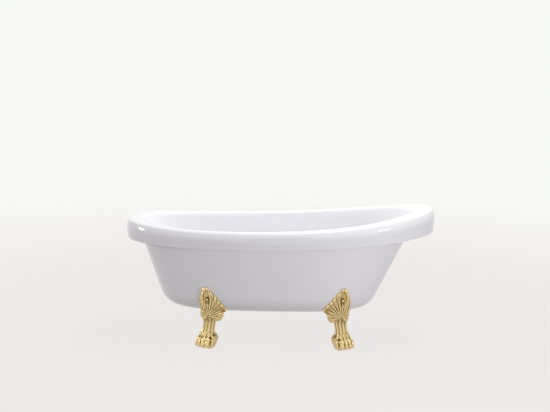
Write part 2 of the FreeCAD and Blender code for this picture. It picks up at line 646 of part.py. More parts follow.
# ---- waste -------------------------------------------------------------------------------------------
def make_waste():
    """Flange, seals, body and tail pipe of the waste, one under the other."""
    flange_base = basin_floor + WASTE_SEAL
    flange_top = flange_base + WASTE_FLANGE_THICKNESS
    neck_end = flange_top - WASTE_NECK_LENGTH
    underside = basin_floor - BASIN_WALL
    body_top = underside - WASTE_LOWER_SEAL
    centre = Vec(WASTE_X, 0, 0)
    flange = spun([(WASTE_BORE, neck_end), (WASTE_NECK, neck_end), (WASTE_NECK, flange_base),
                   (WASTE_FLANGE, flange_base), (WASTE_FLANGE - 5, flange_top),
                   (WASTE_BORE + 6, flange_top), (WASTE_BORE, flange_top - 4)], centre)
    web_top = flange_top - STRAINER_DEPTH
    hub = rod(STEM_RADIUS + 4, centre + UP * (web_top - 8), 8)
    flange = flange.fuse(hub)
    for angle in (0, 90):
        bar = Part.makeBox(2 * WASTE_BORE + 2, STRAINER_WEB, 8,
                           Vec(-WASTE_BORE - 1, -STRAINER_WEB / 2, web_top - 8))
        bar.rotate(Vec(0, 0, 0), UP, angle)
        bar.translate(centre)
        flange = flange.fuse(bar)
    flange = flange.cut(cylinder(STEM_RADIUS + RUNNING_GAP, centre + UP * (web_top - 9), 10))
    top_seal = tube(WASTE_FLANGE - 4, WASTE_NECK + BOLT_CLEARANCE, centre + UP * basin_floor, WASTE_SEAL)
    low_seal = tube(WASTE_FLANGE - 3, WASTE_NECK + BOLT_CLEARANCE, centre + UP * body_top,
                    WASTE_LOWER_SEAL)
    outer = WASTE_NECK + WASTE_BODY_WALL
    socket = (TAIL_RADIUS - TAIL_STEP + TAIL_FIT) / math.cos(math.pi / TURNED_SIDES)
    body = spun([(WASTE_NECK + 0.3, body_top), (WASTE_FLANGE - 3, body_top), (outer, body_top - 8),
                 (outer, WASTE_BODY_BOTTOM), (socket, WASTE_BODY_BOTTOM),
                 (socket, WASTE_BODY_BOTTOM + TAIL_LAP),
                 (WASTE_NECK + 0.3, WASTE_BODY_BOTTOM + TAIL_LAP)], centre)
    inlet = Vec(WASTE_X - outer + 2, 0, hose_level)
    body = body.fuse(rod(HOSE_BORE - HOSE_FIT, inlet, SPIGOT_LENGTH, -X_AXIS))
    body = body.cut(rod(HOSE_BORE - 1.5, inlet + X_AXIS * 8, SPIGOT_LENGTH + 12, -X_AXIS))
    guide_base = WASTE_BODY_BOTTOM + TAIL_LAP + 6
    guide = spun([(0, 0), (STEM_RADIUS + 3, 0), (STEM_RADIUS + 3, 12), (0, 12)], centre + UP * guide_base,
                 sides=12)
    arm = box((WASTE_X - WASTE_NECK - 1, -2, guide_base), (WASTE_X + WASTE_NECK + 1, 2, guide_base + 12))
    body = body.fuse([guide, arm])
    body = body.cut(cylinder(STEM_RADIUS - 1 + RUNNING_GAP, centre + UP * (guide_base - 1), 14))
    shoulder = WASTE_BODY_BOTTOM - TAIL_END
    tail = cylinder(TAIL_RADIUS, centre + UP * TAIL_END, shoulder)
    tail = tail.fuse(cylinder(TAIL_RADIUS - TAIL_STEP, centre + UP * WASTE_BODY_BOTTOM, TAIL_LAP))
    tail = tail.cut(cylinder(TAIL_RADIUS - TAIL_WALL, centre + UP * TAIL_END, shoulder + TAIL_LAP))
    return {"waste_flange": flange, "waste_top_seal": top_seal, "waste_lower_seal": low_seal,
            "waste_body": body, "waste_tail_pipe": tail}


def make_plug():
    """Plug cap, its seal and stem, and the lifter that the cable pushes up under it."""
    centre = Vec(WASTE_X, 0, 0)
    flange_top = basin_floor + WASTE_SEAL + WASTE_FLANGE_THICKNESS
    cap_base = flange_top + 1.2
    cap = spun([(0, cap_base), (PLUG_RADIUS, cap_base), (PLUG_RADIUS - 2, cap_base + 4),
                (0, cap_base + 7.5)], centre)
    hole = STEM_RADIUS + RUNNING_GAP
    seal = spun([(hole, cap_base - 5), (WASTE_BORE - 1, cap_base - 5),
                 (WASTE_BORE + 5, cap_base), (hole, cap_base)], centre)
    web_low = flange_top - STRAINER_DEPTH - 8
    stem_end = web_low - PLUG_TRAVEL - PLUG_CLEAR
    stem = cylinder(STEM_RADIUS, centre + UP * stem_end, cap_base - stem_end)
    guide_base = WASTE_BODY_BOTTOM + TAIL_LAP + 6
    lifter = spun([(0, guide_base - 10), (STEM_RADIUS - 1, guide_base - 10),
                   (STEM_RADIUS - 1, stem_end - 2.3), (STEM_RADIUS + 2, stem_end - 2.3),
                   (STEM_RADIUS + 2, stem_end - 0.3), (0, stem_end - 0.3)], centre)
    return {"plug_cap": cap, "plug_seal": seal, "plug_stem": stem, "plug_lifter": lifter}


# ---- overflow ----------------------------------------------------------------------------------------
def overflow_seat():
    """Centre of the overflow on the bathing wall's face, and the way out of that wall."""
    lean = math.radians(BASIN_SLOPE[0])
    return Vec(-BASIN.reach(OVERFLOW_HEIGHT)[0], 0, OVERFLOW_HEIGHT), Vec(math.cos(lean), 0, math.sin(lean))


def along_seat(out, across=0.0, up=0.0):
    """Point given from the overflow's centre: out of the wall, across it and up its slope."""
    point, normal = overflow_seat()
    slope = Vec(-normal.z, 0, normal.x)
    return point + normal * out + Y_AXIS * across + slope * up


def make_overflow():
    """Bezel, seal and body of the overflow, clamped through the bathing wall."""
    _, normal = overflow_seat()
    back = -BASIN_WALL - OVERFLOW_SEAL
    neck = OVERFLOW_HOLE - BOLT_CLEARANCE
    bezel = spun([(BEZEL_BORE, back - BEZEL_SCREW), (neck, back - BEZEL_SCREW), (neck, BEZEL_GAP),
                  (BEZEL_RADIUS, BEZEL_GAP), (BEZEL_RADIUS - 2, BEZEL_THICKNESS),
                  (BEZEL_BORE, BEZEL_THICKNESS)], along_seat(0), normal)
    seal = spun([(OVERFLOW_HOLE, back), (OVERFLOW_BODY + 2, back), (OVERFLOW_BODY + 2, back + OVERFLOW_SEAL),
                 (OVERFLOW_HOLE, back + OVERFLOW_SEAL)], along_seat(0), normal)
    deep = back - OVERFLOW_DEPTH
    body = spun([(0, deep), (OVERFLOW_BODY, deep), (OVERFLOW_BODY, back), (neck, back),
                 (neck, deep + OVERFLOW_WALL), (0, deep + OVERFLOW_WALL)], along_seat(0), normal)
    body = body.cut(cylinder(SPINDLE_RADIUS + RUNNING_GAP, along_seat(deep - 1), OVERFLOW_WALL + 2,
                             normal))
    start, way = hose_route()[0], (hose_route()[1] - hose_route()[0]).normalize()
    length = SPIGOT_LENGTH + 4
    spigot_root = start - way * length
    body = body.fuse(rod(HOSE_BORE - HOSE_FIT, spigot_root, length, way))
    body = body.cut(rod(HOSE_BORE - 1.5, spigot_root - way * 4, length + 8, way))
    return {"overflow_bezel": bezel, "overflow_seal": seal, "overflow_body": body}


def make_knob():
    """Rotary knob and the spindle that winds the cable behind it."""
    _, normal = overflow_seat()
    base = BEZEL_THICKNESS + KNOB_STANDOFF
    knob = spun([(0, base), (KNOB_RADIUS, base), (KNOB_RADIUS, base + KNOB_DEPTH - 3),
                 (KNOB_RADIUS - 4, base + KNOB_DEPTH), (0, base + KNOB_DEPTH)], along_seat(0), normal)
    for k in range(KNOB_GRIPS):
        angle = 2 * math.pi * k / KNOB_GRIPS
        edge = along_seat(base - 1, (KNOB_RADIUS + 2.5) * math.cos(angle),
                          (KNOB_RADIUS + 2.5) * math.sin(angle))
        knob = knob.cut(rod(5, edge, KNOB_DEPTH + 2, normal, 12))
    deep = -BASIN_WALL - OVERFLOW_SEAL - OVERFLOW_DEPTH
    spindle = cylinder(SPINDLE_RADIUS, along_seat(deep - 1), base - deep + 1, normal)
    drum = rod(DRUM_RADIUS, along_seat(deep + OVERFLOW_WALL + 5), DRUM_WIDTH, normal)
    return {"overflow_knob": knob, "knob_spindle": spindle.fuse(drum)}


def hose_route():
    """Overflow spigot, the turn under the bathing floor and the waste's inlet."""
    outer = WASTE_NECK + WASTE_BODY_WALL
    top = along_seat(-hose_depth, 0, -OVERFLOW_BODY - SPIGOT_LENGTH)
    low = Vec(-SKIRT.reach(hose_level)[0] + HOSE_CORNER, 0, hose_level)
    inlet = Vec(WASTE_X - outer - SPIGOT_LENGTH + 2, 0, hose_level)
    return [top, low, inlet]


def bent_bar(points, bend, radius, sides):
    """Round bar along two straight runs joined by a tangent bend."""
    first, corner, last = points
    back, ahead = (first - corner).normalize(), (last - corner).normalize()
    turn = math.pi - back.getAngle(ahead)
    step = bend * math.tan(turn / 2)
    start = corner + back * step
    axis = ahead.cross(back).normalize()
    centre = corner + (back + ahead).normalize() * (bend / math.cos(turn / 2))
    spread = (centre - start).normalize()
    rings = [[first + spread * (radius * math.cos(a)) + axis * (radius * math.sin(a))
              for a in [2 * math.pi * k / sides for k in range(sides)]]]
    rings.append([corner + (start - first) for corner in rings[0]])
    for k in range(1, BEND_STEPS + 1):
        turned = FreeCAD.Placement(Vec(), FreeCAD.Rotation(axis, math.degrees(turn) * k / BEND_STEPS),
                                   centre)
        rings.append([turned.multVec(corner) for corner in rings[1]])
    run = last - (corner + ahead * step)
    rings.append([place + run for place in rings[-1]])
    return through(rings)


def make_hose():
    """Overflow hose, its two nuts and the control cable's sheath beside it."""
    route = hose_route()
    first, last = (route[1] - route[0]).normalize(), (route[2] - route[1]).normalize()
    hose = bent_bar(route, HOSE_BEND, HOSE_RADIUS, 16).cut(bent_bar(route, HOSE_BEND, HOSE_BORE, 16))
    upper = tube(HOSE_NUT, HOSE_RADIUS + HOSE_FIT, route[0], HOSE_NUT_LENGTH, first)
    lower = tube(HOSE_NUT, HOSE_RADIUS + HOSE_FIT, route[2] - last * HOSE_NUT_LENGTH, HOSE_NUT_LENGTH, last)
    side = Y_AXIS * CABLE_SIDE
    start = along_seat(-hose_depth, CABLE_SIDE,
                       -math.sqrt(OVERFLOW_BODY ** 2 - CABLE_SIDE ** 2) - CABLE_RADIUS)
    inlet = Vec(WASTE_X - math.sqrt((WASTE_NECK + WASTE_BODY_WALL) ** 2 - CABLE_SIDE ** 2) - CABLE_RADIUS,
                CABLE_SIDE, hose_level)
    sheath = bent_bar([start, route[1] + side, inlet], CABLE_BEND, CABLE_RADIUS, 8)
    return {"overflow_hose": hose, "hose_nuts": Part.makeCompound([upper, lower]),
            "cable_sheath": sheath}


# ---- assembly ------------------------------------------------------------------------------------------
def make_parts():
    """Every sub-part under its own name."""
    foot_cross = RAIL_FOOT_END + CROSS_RAIL_INSET + CROSS_RAIL_WIDTH / 2
    head_cross = RAIL_HEAD_END - CROSS_RAIL_INSET - CROSS_RAIL_WIDTH / 2
    parts = make_basin()
    parts.update({
        "outer_skirt": make_skirt(),
        "floor_board": make_board(),
        "front_side_rail": make_side_rail(-1),
        "rear_side_rail": make_side_rail(1),
        "foot_end_cross_rail": make_cross_rail(foot_cross),
        "head_end_cross_rail": make_cross_rail(head_cross),
    })
    ends = {-1: "foot_end", 1: "head_end"}
    for end in (-1, 1):
        foot = make_foot(FootPlace(end, -1))
        parts["front_%s_foot" % ends[end]] = foot
        parts["rear_%s_foot" % ends[end]] = foot.mirror(Vec(0, 0, 0), Y_AXIS)
    for group in (make_fasteners(), make_waste(), make_plug(), make_overflow(), make_knob(),
                  make_hose()):
        parts.update(group)
    return parts


def main():
    os.makedirs("parts", exist_ok=True)
    for name, shape in make_parts().items():
        shape.exportStep("parts/%s.step" % name)
        print("%-28s solids %d  volume %9.0f mm3  valid %s"
              % (name, len(shape.Solids), shape.Volume, shape.isValid()))


main()
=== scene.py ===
"""Dressed slipper bath: smooth white skins, cast gold claw feet and a chrome waste and overflow.

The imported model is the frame.  Metres, +X to the raised head end, -Y towards the camera, +Z up.
"""
import logging
import math
from dataclasses import dataclass, field
from enum import Enum
from typing import Callable, Dict, List, Sequence, Tuple, Union

import bpy
import numpy as np
from mathutils import Matrix, Vector


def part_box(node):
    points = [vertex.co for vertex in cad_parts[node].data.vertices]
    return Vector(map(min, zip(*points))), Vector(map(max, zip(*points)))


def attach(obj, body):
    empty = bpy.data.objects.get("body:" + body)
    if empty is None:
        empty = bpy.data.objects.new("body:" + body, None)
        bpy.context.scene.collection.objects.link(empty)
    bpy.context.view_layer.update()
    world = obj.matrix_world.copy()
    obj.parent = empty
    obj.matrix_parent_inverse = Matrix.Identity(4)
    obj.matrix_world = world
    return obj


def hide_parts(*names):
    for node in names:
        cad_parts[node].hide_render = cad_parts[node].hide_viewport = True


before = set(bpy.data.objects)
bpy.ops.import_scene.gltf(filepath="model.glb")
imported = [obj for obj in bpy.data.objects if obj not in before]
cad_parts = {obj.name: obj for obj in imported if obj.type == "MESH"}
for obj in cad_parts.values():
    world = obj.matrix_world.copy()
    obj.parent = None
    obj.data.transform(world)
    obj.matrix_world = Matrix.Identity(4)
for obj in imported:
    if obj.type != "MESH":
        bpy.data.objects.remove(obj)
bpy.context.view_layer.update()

LOG = logging.getLogger("bath")
Pair = Tuple[float, float]
Triple = Tuple[float, float, float]
Quad = Tuple[float, float, float, float]
Tree = bpy.types.NodeTree
Socket = bpy.types.NodeSocket
Piece = bpy.types.Object
UP = np.array([0.0, 0.0, 1.0])


# ---- nodes ---------------------------------------------------------------------------------------
def feed(tree: Tree, node: bpy.types.Node, inputs: Dict[Union[str, int], object]) -> None:
    """Fill a node's inputs.

    Args:
        tree: The tree that the node stands in.
        node: The node.
        inputs: For each input the socket that feeds it, or its uniform value.
    """
    for key, value in inputs.items():
        if isinstance(value, Socket):
            tree.links.new(value, node.inputs[key])
        else:
            node.inputs[key].default_value = value


def add_node(tree: Tree, kind: str, inputs: Dict[Union[str, int], object]) -> bpy.types.Node:
    """Add a node of a kind and fill its inputs."""
    node = tree.nodes.new(kind)
    feed(tree, node, inputs)
    return node


def combined(tree: Tree, operation: str, first: object, second: object
             ) -> Socket:
    """Combine two values by a mathematical operation."""
    node = tree.nodes.new("ShaderNodeMath")
    node.operation = operation
    feed(tree, node, {0: first, 1: second})
    return node.outputs["Value"]


def colour_mix(tree: Tree, factor: Socket, low: object, high: object
               ) -> Socket:
    """Mix two colours, each a socket or a uniform colour, by a factor."""
    node = tree.nodes.new("ShaderNodeMix")
    node.data_type = "RGBA"
    feed(tree, node, {"A": low, "B": high, "Factor": factor})
    return node.outputs["Result"]


def painted(tree: Tree, name: str) -> Socket:
    """Read an attribute that the mesh carries."""
    node = tree.nodes.new("ShaderNodeAttribute")
    node.attribute_name = name
    return node.outputs["Fac"]


# ---- finishes ------------------------------------------------------------------------------------
@dataclass(frozen=True)
class Finish:
    """One finish: its colour and gloss, and how both vary over the surface."""

    name: str
    colour: Triple
    metallic: float = 0.0
    roughness: float = 0.4
    coat: float = 0.0
    coat_roughness: float = 0.05
    ior: float = 1.5
    # darker tone that the mottle reaches; where a hollow mask is named, also the colour of painted shade
    shade: Triple = (0.0, 0.0, 0.0)
    mottle: float = 0.0
    mottle_scale: float = 20.0
    gloss_spread: float = 0.0
    bump: float = 0.0
    bump_scale: float = 300.0
    bump_depth: float = 0.0005
    stretch: Triple = (1.0, 1.0, 1.0)
    # name of the mesh attribute for painted shade in hollow places
    hollow_shade: str = ""
    # name of the mesh attribute for a painted highlight on crest places, then the colour of that painted
    # highlight
    crest_highlights: str = ""
    crest_highlight_colour: Triple = (0.0, 0.0, 0.0)

    def build(self) -> bpy.types.Material:
        """Make the node material of this finish.

        Returns:
            The material, with its pattern on Object coordinates.
        """
        material = bpy.data.materials.new(self.name)
        material.use_nodes = True
        tree = material.node_tree
        shader = tree.nodes["Principled BSDF"]
        feed(tree, shader, {"Metallic": self.metallic, "Roughness": self.roughness, "IOR": self.ior,
                            "Coat Weight": self.coat, "Coat Roughness": self.coat_roughness,
                            "Base Color": (*self.colour, 1.0)})
        place = tree.nodes.new("ShaderNodeTexCoord")
        mapping = add_node(tree, "ShaderNodeMapping",
                           {"Scale": self.stretch, "Vector": place.outputs["Object"]})

        def noise(scale: float, detail: float) -> Socket:
            """Give a noise of the piece's own coordinates."""
            return add_node(tree, "ShaderNodeTexNoise", {"Scale": scale, "Detail": detail,
                                                         "Vector": mapping.outputs["Vector"]}).outputs["Fac"]
        coarse = noise(self.mottle_scale, 3.0)
        if self.mottle:
            feed(tree, shader, {"Base Color": self.tone(tree, coarse)})
        if self.gloss_spread:
            gloss = add_node(tree, "ShaderNodeMapRange", {
                "Value": coarse, "From Min": 0.3, "From Max": 0.7,
                "To Min": max(0.0, self.roughness - self.gloss_spread),
                "To Max": self.roughness + self.gloss_spread})
            feed(tree, shader, {"Roughness": gloss.outputs["Result"]})
        if self.bump:
            relief = add_node(tree, "ShaderNodeBump", {"Strength": self.bump, "Distance": self.bump_depth,
                                                       "Height": noise(self.bump_scale, 2.0)})
            feed(tree, shader, {"Normal": relief.outputs["Normal"]})
        return material

    def tone(self, tree: Tree, coarse: Socket) -> Socket:
        """Give the colour: darker by the mottle, with painted shade in hollow places and a painted highlight
        on crest places.
        """
        amount = add_node(tree, "ShaderNodeMapRange", {"Value": coarse, "From Min": 0.35, "From Max": 0.75,
                                                       "To Max": self.mottle}).outputs["Result"]
        # painted shade in hollow places: the mask pulls the colour towards the dark shade colour
        if self.hollow_shade:
            amount = combined(tree, "MAXIMUM", amount, painted(tree, self.hollow_shade))
        tone = colour_mix(tree, amount, (*self.colour, 1.0), (*self.shade, 1.0))
        # painted highlight on crest places: the mask pulls the colour towards the pale highlight colour
        if self.crest_highlights:
            tone = colour_mix(tree, painted(tree, self.crest_highlights), tone, (*self.crest_highlight_colour, 1.0))
        return tone


ACRYLIC = Finish("white_acrylic_gloss", (0.80, 0.80, 0.825), roughness=0.16, coat=0.6, coat_roughness=0.03,
                 shade=(0.775, 0.77, 0.795), mottle=0.35, mottle_scale=2.2, gloss_spread=0.02,
                 bump=0.12, bump_scale=5.0, bump_depth=0.002)
# The feet's gold: painted shade in hollow places and a painted highlight on crest places, from masks on the
# mesh.
GOLD = Finish("polished_gold_cast", (0.66, 0.49, 0.225), metallic=1.0, roughness=0.25,
              shade=(0.17, 0.105, 0.035), mottle=0.12, mottle_scale=38.0, gloss_spread=0.07,
              bump=0.35, bump_scale=160.0, bump_depth=0.0006, hollow_shade="hollow", crest_highlights="crest",
              crest_highlight_colour=(0.86, 0.71, 0.41))
CHROME = Finish("polished_chrome", (0.80, 0.81, 0.82), metallic=1.0, roughness=0.07,
                shade=(0.70, 0.71, 0.73), mottle=0.2, mottle_scale=30.0, gloss_spread=0.02)
RUBBER = Finish("black_rubber", (0.035, 0.035, 0.036), roughness=0.75, shade=(0.06, 0.06, 0.06),
                mottle=0.5, mottle_scale=60.0, bump=0.3, bump_scale=500.0)
PLASTIC = Finish("white_moulded_plastic", (0.72, 0.72, 0.71), roughness=0.42, shade=(0.66, 0.66, 0.65),
                 mottle=0.4, mottle_scale=14.0, bump=0.15, bump_scale=420.0)
HOSE = Finish("grey_hose", (0.36, 0.37, 0.38), roughness=0.5, shade=(0.29, 0.30, 0.31),
              mottle=0.5, mottle_scale=18.0, bump=0.2, bump_scale=260.0)
SHEATH = Finish("black_sheath", (0.03, 0.03, 0.032), roughness=0.45, shade=(0.055, 0.055, 0.06),
                mottle=0.4, mottle_scale=40.0, bump=0.2, bump_scale=600.0)
ZINC = Finish("zinc_plated_steel", (0.52, 0.53, 0.54), metallic=0.9, roughness=0.38,
              shade=(0.38, 0.38, 0.37), mottle=0.5, mottle_scale=45.0, gloss_spread=0.1,
              bump=0.15, bump_scale=300.0)
BOARD = Finish("chipboard", (0.42, 0.29, 0.17), roughness=0.8, shade=(0.25, 0.16, 0.085), mottle=0.9,
               mottle_scale=110.0, bump=0.5, bump_scale=190.0, stretch=(0.5, 1.0, 1.0))


class Paint:
    """Keeps one material of each finish."""

    def __init__(self) -> None:
        """Start with no materials."""
        self.made: Dict[str, bpy.types.Material] = {}

    def of(self, finish: Finish) -> bpy.types.Material:
        """Give the material of a finish, made once.

        Args:
            finish: The finish wanted.

        Returns:
            Its material.
        """
        if finish.name not in self.made:
            self.made[finish.name] = finish.build()
        return self.made[finish.name]


PAINT = Paint()


# ---- meshes --------------------------------------------------------------------------------------
def placed(name: str, data: bpy.types.ID) -> Piece:
    """Make an object of some data and link it to the scene."""
    made = bpy.data.objects.new(name, data)
    bpy.context.scene.collection.objects.link(made)
    return made


def rows_of(items: bpy.types.bpy_prop_collection, key: str, width: int = 3, kind: type = float
            ) -> np.ndarray:
    """Read one property of all corners, edges or triangles of a mesh, a row for each."""
    values = np.zeros(len(items) * width, kind)
    items.foreach_get(key, values)
    return values.reshape(-1, width)


def baked(source: Piece, name: str) -> Piece:
    """Keep what an object's modifiers make as a plain piece.

    Args:
        source: The object with the modifiers, which is dropped.
        name: The piece's name.

    Returns:
        The piece.
    """
    bpy.context.view_layer.update()
    evaluated = source.evaluated_get(bpy.context.evaluated_depsgraph_get())
    mesh = bpy.data.meshes.new_from_object(evaluated)
    for modifier in list(source.modifiers):
        source.modifiers.remove(modifier)
    bpy.data.objects.remove(source)
    mesh.name = name
    return placed(name, mesh)


def dress(made: Piece, finish: Finish, nodes: Sequence[str], body: str) -> None:
    """Give a piece its finish and put it in its nodes' place.

    Args:
        made: The piece.
        finish: Its finish.
        nodes: The CAD nodes that it replaces.
        body: The body that it rides on.
    """
    made.data.materials.append(PAINT.of(finish))
    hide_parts(*nodes)
    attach(made, body)
    LOG.info("%s: %d faces", made.name, len(made.data.polygons))


def mesh_object(name: str, points: np.ndarray, faces: Sequence[Sequence[int]],
                sharp_deg: float = 40.0) -> Piece:
    """Make a smooth-shaded mesh object with its place in its mesh.

    Args:
        name: The piece's name.
        points: Corner places, one per row.
        faces: Corner numbers of each face, anticlockwise from outside.
        sharp_deg: Edges that turn by more than this stay sharp.

    Returns:
        The linked object.
    """
    mesh = bpy.data.meshes.new(name)
    mesh.from_pydata([tuple(p) for p in points], [], [list(f) for f in faces])
    mesh.validate()
    mesh.update()
    mesh.polygons.foreach_set("use_smooth", [True] * len(mesh.polygons))
    mesh.set_sharp_from_angle(angle=math.radians(sharp_deg))
    return placed(name, mesh)


class Patchwork:
    """Collects rings of corners and the faces between them."""

    def __init__(self) -> None:
        """Start empty."""
        self.points: List[np.ndarray] = []
        self.faces: List[List[int]] = []
        self.count = 0

    def ring(self, corners: np.ndarray) -> np.ndarray:
        """Add a ring of corners.

        Args:
            corners: Their places, one per row.

        Returns:
            Their numbers.
        """
        self.points.append(np.asarray(corners, float))
        numbers = np.arange(self.count, self.count + len(corners))
        self.count += len(corners)
        return numbers

    def band(self, low: np.ndarray, high: np.ndarray) -> None:
        """Join two rings of as many corners with a closed band of four-sided faces."""
        around = len(low)
        for k in range(around):
            n = (k + 1) % around
            self.faces.append([int(low[k]), int(low[n]), int(high[n]), int(high[k])])

    def bands(self, rings: Sequence[np.ndarray]) -> None:
        """Join each ring with the next."""
        for low, high in zip(rings, rings[1:]):
            self.band(low, high)

    def cap(self, ring: np.ndarray, flip: bool) -> None:
        """Close a ring with a fan around its middle.

        Args:
            ring: The ring's numbers.
            flip: Whether the fan faces the other way.
        """
        places = np.vstack(self.points)[ring]
        middle = self.ring(places.mean(0)[None, :])[0]
        around = len(ring)
        for k in range(around):
            n = (k + 1) % around
            face = [int(ring[k]), int(ring[n]), int(middle)]
            self.faces.append(face[::-1] if flip else face)

    def tube(self, rings: Sequence[np.ndarray]) -> None:
        """Add a closed solid through rings of corners."""
        numbers = [self.ring(r) for r in rings]
        self.bands(numbers)
        self.cap(numbers[0], True)
        self.cap(numbers[-1], False)

    def make(self, name: str, sharp_deg: float = 40.0) -> Piece:
        """Turn what was collected into an object."""
        return mesh_object(name, np.vstack(self.points), self.faces, sharp_deg)


def smooth_through(stations: np.ndarray, steps: int) -> np.ndarray:
    """Pass a smooth curve through stations, for many curves at once.

    Args:
        stations: Places, shaped (stations, curves, 3).
        steps: Steps from one station to the next.

    Returns:
        Places along the curves, shaped (places, curves, 3).
    """
    count = len(stations)
    gaps = np.linalg.norm(np.diff(stations, axis=0), axis=2)[:, :, None] + 1e-9
    slopes = np.diff(stations, axis=0) / gaps
    tangents = np.empty_like(stations)
    tangents[0], tangents[-1] = slopes[0], slopes[-1]
    for k in range(1, count - 1):
        before, after = gaps[k - 1], gaps[k]
        tangents[k] = (slopes[k - 1] * after + slopes[k] * before) / (before + after)
    out = []
    for k in range(count - 1):
        for step in range(steps):
            t = step / steps
            out.append((2 * t ** 3 - 3 * t ** 2 + 1) * stations[k]
                       + (t ** 3 - 2 * t ** 2 + t) * gaps[k] * tangents[k]
                       + (3 * t ** 2 - 2 * t ** 3) * stations[k + 1]
                       + (t ** 3 - t ** 2) * gaps[k] * tangents[k + 1])
    out.append(stations[-1])
    return np.array(out)


# ---- the bath's skins ------------------------------------------------------------------------------
@dataclass(frozen=True)
class RimSizes:
    """Sizes of the rim, in metres."""

    length: float = 1.700
    width: float = 0.750
    low: float = 0.652
    low_x: float = -0.340
    foot_rise: float = 0.025
    head_rise: float = 0.098
    foot_power: float = 1.95
    head_power: float = 2.5
    band_depth: float = 0.097
    band_wall: float = 0.005
    droop: float = 0.65
    round: float = 0.030
    shoulder: float = 0.024
    inner_shoulder: float = 0.022
    foot_square: float = 2.7
    head_square_top: float = 2.15
    head_square_low: float = 3.2
    base: float = 0.190
    corners: int = 208

    @property
    def half(self) -> float:
        """Half the length."""
        return self.length / 2

    @property
    def angles(self) -> np.ndarray:
        """Directions of the corners of every ring."""
        return 2 * np.pi * np.arange(self.corners) / self.corners

    def climb(self) -> np.ndarray:
        """How far the rim stands above its lowest place in each direction."""
        x = self.oval(self.half, self.half, self.width / 2, self.low)[:, 0]
        foot = np.clip((self.low_x - x) / (self.low_x + self.half), 0, None) ** self.foot_power
        head = np.clip((x - self.low_x) / (self.half - self.low_x), 0, None) ** self.head_power
        return self.foot_rise * foot + self.head_rise * head

    def square(self, cosine: np.ndarray, z: np.ndarray) -> np.ndarray:
        """Exponent of the oval outline in each direction at each height."""
        low = np.clip((self.low - z) / (self.low - self.base), 0, 1)
        head = self.head_square_top + (self.head_square_low - self.head_square_top) * low
        return head + (self.foot_square - head) * (1 - cosine) / 2

    def oval(self, foot: np.ndarray, head: np.ndarray, side: np.ndarray, z: np.ndarray) -> np.ndarray:
        """Ring on an oval that reaches foot, head and side.

        Args:
            foot: Reach to the foot end in each direction, or one number.
            head: Reach to the head end.
            side: Reach to the sides.
            z: Height in each direction.

        Returns:
            The ring's corners.
        """
        c, s = np.cos(self.angles), np.sin(self.angles)
        heights = np.broadcast_to(z, c.shape)
        n = self.square(c, heights)
        size = (np.abs(c) ** n + np.abs(s) ** n) ** (1 / n)
        return np.stack([(head - foot) / 2 + (head + foot) / 2 * c / size, side * s / size, heights], 1)

    def crown(self, drop: float) -> np.ndarray:
        """Ring under the rim's highest line, so far below it."""
        return self.inset(self.round + 0.006, self.round + 0.008, self.round, drop)

    def inset(self, foot: float, head: float, side: float, drop: float, share: float = 1.0) -> np.ndarray:
        """Ring that lies inside the rim's outline and follows its climb.

        Args:
            foot: Inset at the foot end.
            head: Inset at the head end.
            side: Inset at the sides.
            drop: How far below the crown.
            share: Share of the climb that it takes.

        Returns:
            The ring's corners.
        """
        ring = self.oval(self.half - foot, self.half - head, self.width / 2 - side, self.low)
        ring[:, 2] = self.low - drop + share * self.climb()
        return ring


@dataclass(frozen=True)
class Flare:
    """A flat bottom that turns up through a radius into walls that lean out."""

    rim: RimSizes
    base: float
    radius: float
    flat: Triple
    slope_deg: Triple

    def offset(self, gap: float) -> "Flare":
        """Give the same form, bigger all round by gap."""
        return Flare(self.rim, self.base - gap, self.radius + gap, self.flat, self.slope_deg)

    def reach(self, z: np.ndarray) -> List[np.ndarray]:
        """Give the form's reach to the foot, the head and the side at each height."""
        up = np.asarray(z, float) - self.base
        out = []
        for flat, slope in zip(self.flat, np.radians(self.slope_deg)):
            turn = self.radius * (1 - math.sin(slope))
            arc = np.sqrt(np.clip(self.radius ** 2 - (self.radius - up) ** 2, 0, None))
            straight = self.radius * math.cos(slope) + (up - turn) * math.tan(slope)
            out.append(flat + np.where(up < turn, arc, straight))
        return out

    def ring(self, z: float, share: float = 0.0) -> np.ndarray:
        """Ring at a height, lifted by a share of the rim's climb and kept on the form."""
        level = z + share * self.rim.climb()
        foot, head, side = self.reach(level)
        return self.rim.oval(foot, head, side, level)

    @property
    def turn_top(self) -> float:
        """Height at which the turn has ended all round."""
        return self.base + self.radius * (1 - math.sin(math.radians(min(self.slope_deg))))

    def turn_rings(self, steps: int) -> List[np.ndarray]:
        """Rings up the turn between the flat bottom and the walls."""
        sweep = math.acos(1 - (self.turn_top - self.base) / self.radius)
        return [self.ring(self.base + self.radius * (1 - math.cos(sweep * k / steps)))
                for k in range(steps + 1)]

    def wall_rings(self, top: float, share: float, steps: int) -> List[np.ndarray]:
        """Rings from the end of the turn to a top that follows the rim's climb."""
        return [self.ring(self.turn_top + (top - self.turn_top) * k / steps, share * k / steps)
                for k in range(1, steps + 1)]

    def level(self, x: np.ndarray, y: np.ndarray, z: np.ndarray) -> np.ndarray:
        """Under 1 inside the form and over 1 outside it."""
        foot, head, side = self.reach(z)
        along = (x - (head - foot) / 2) / ((head + foot) / 2)
        across = y / side
        n = self.rim.square(along / np.maximum(1e-9, np.hypot(along, across)), z)
        return (np.abs(along) ** n + np.abs(across) ** n) ** (1 / n)


def closed_shell(name: str, rings: Sequence[np.ndarray], sharp_deg: float = 42.0) -> Piece:
    """Make a shell of rings, the last of which joins the first."""
    patch = Patchwork()
    numbers = [patch.ring(r) for r in rings]
    patch.bands(numbers)
    patch.band(numbers[-1], numbers[0])
    return patch.make(name, sharp_deg)


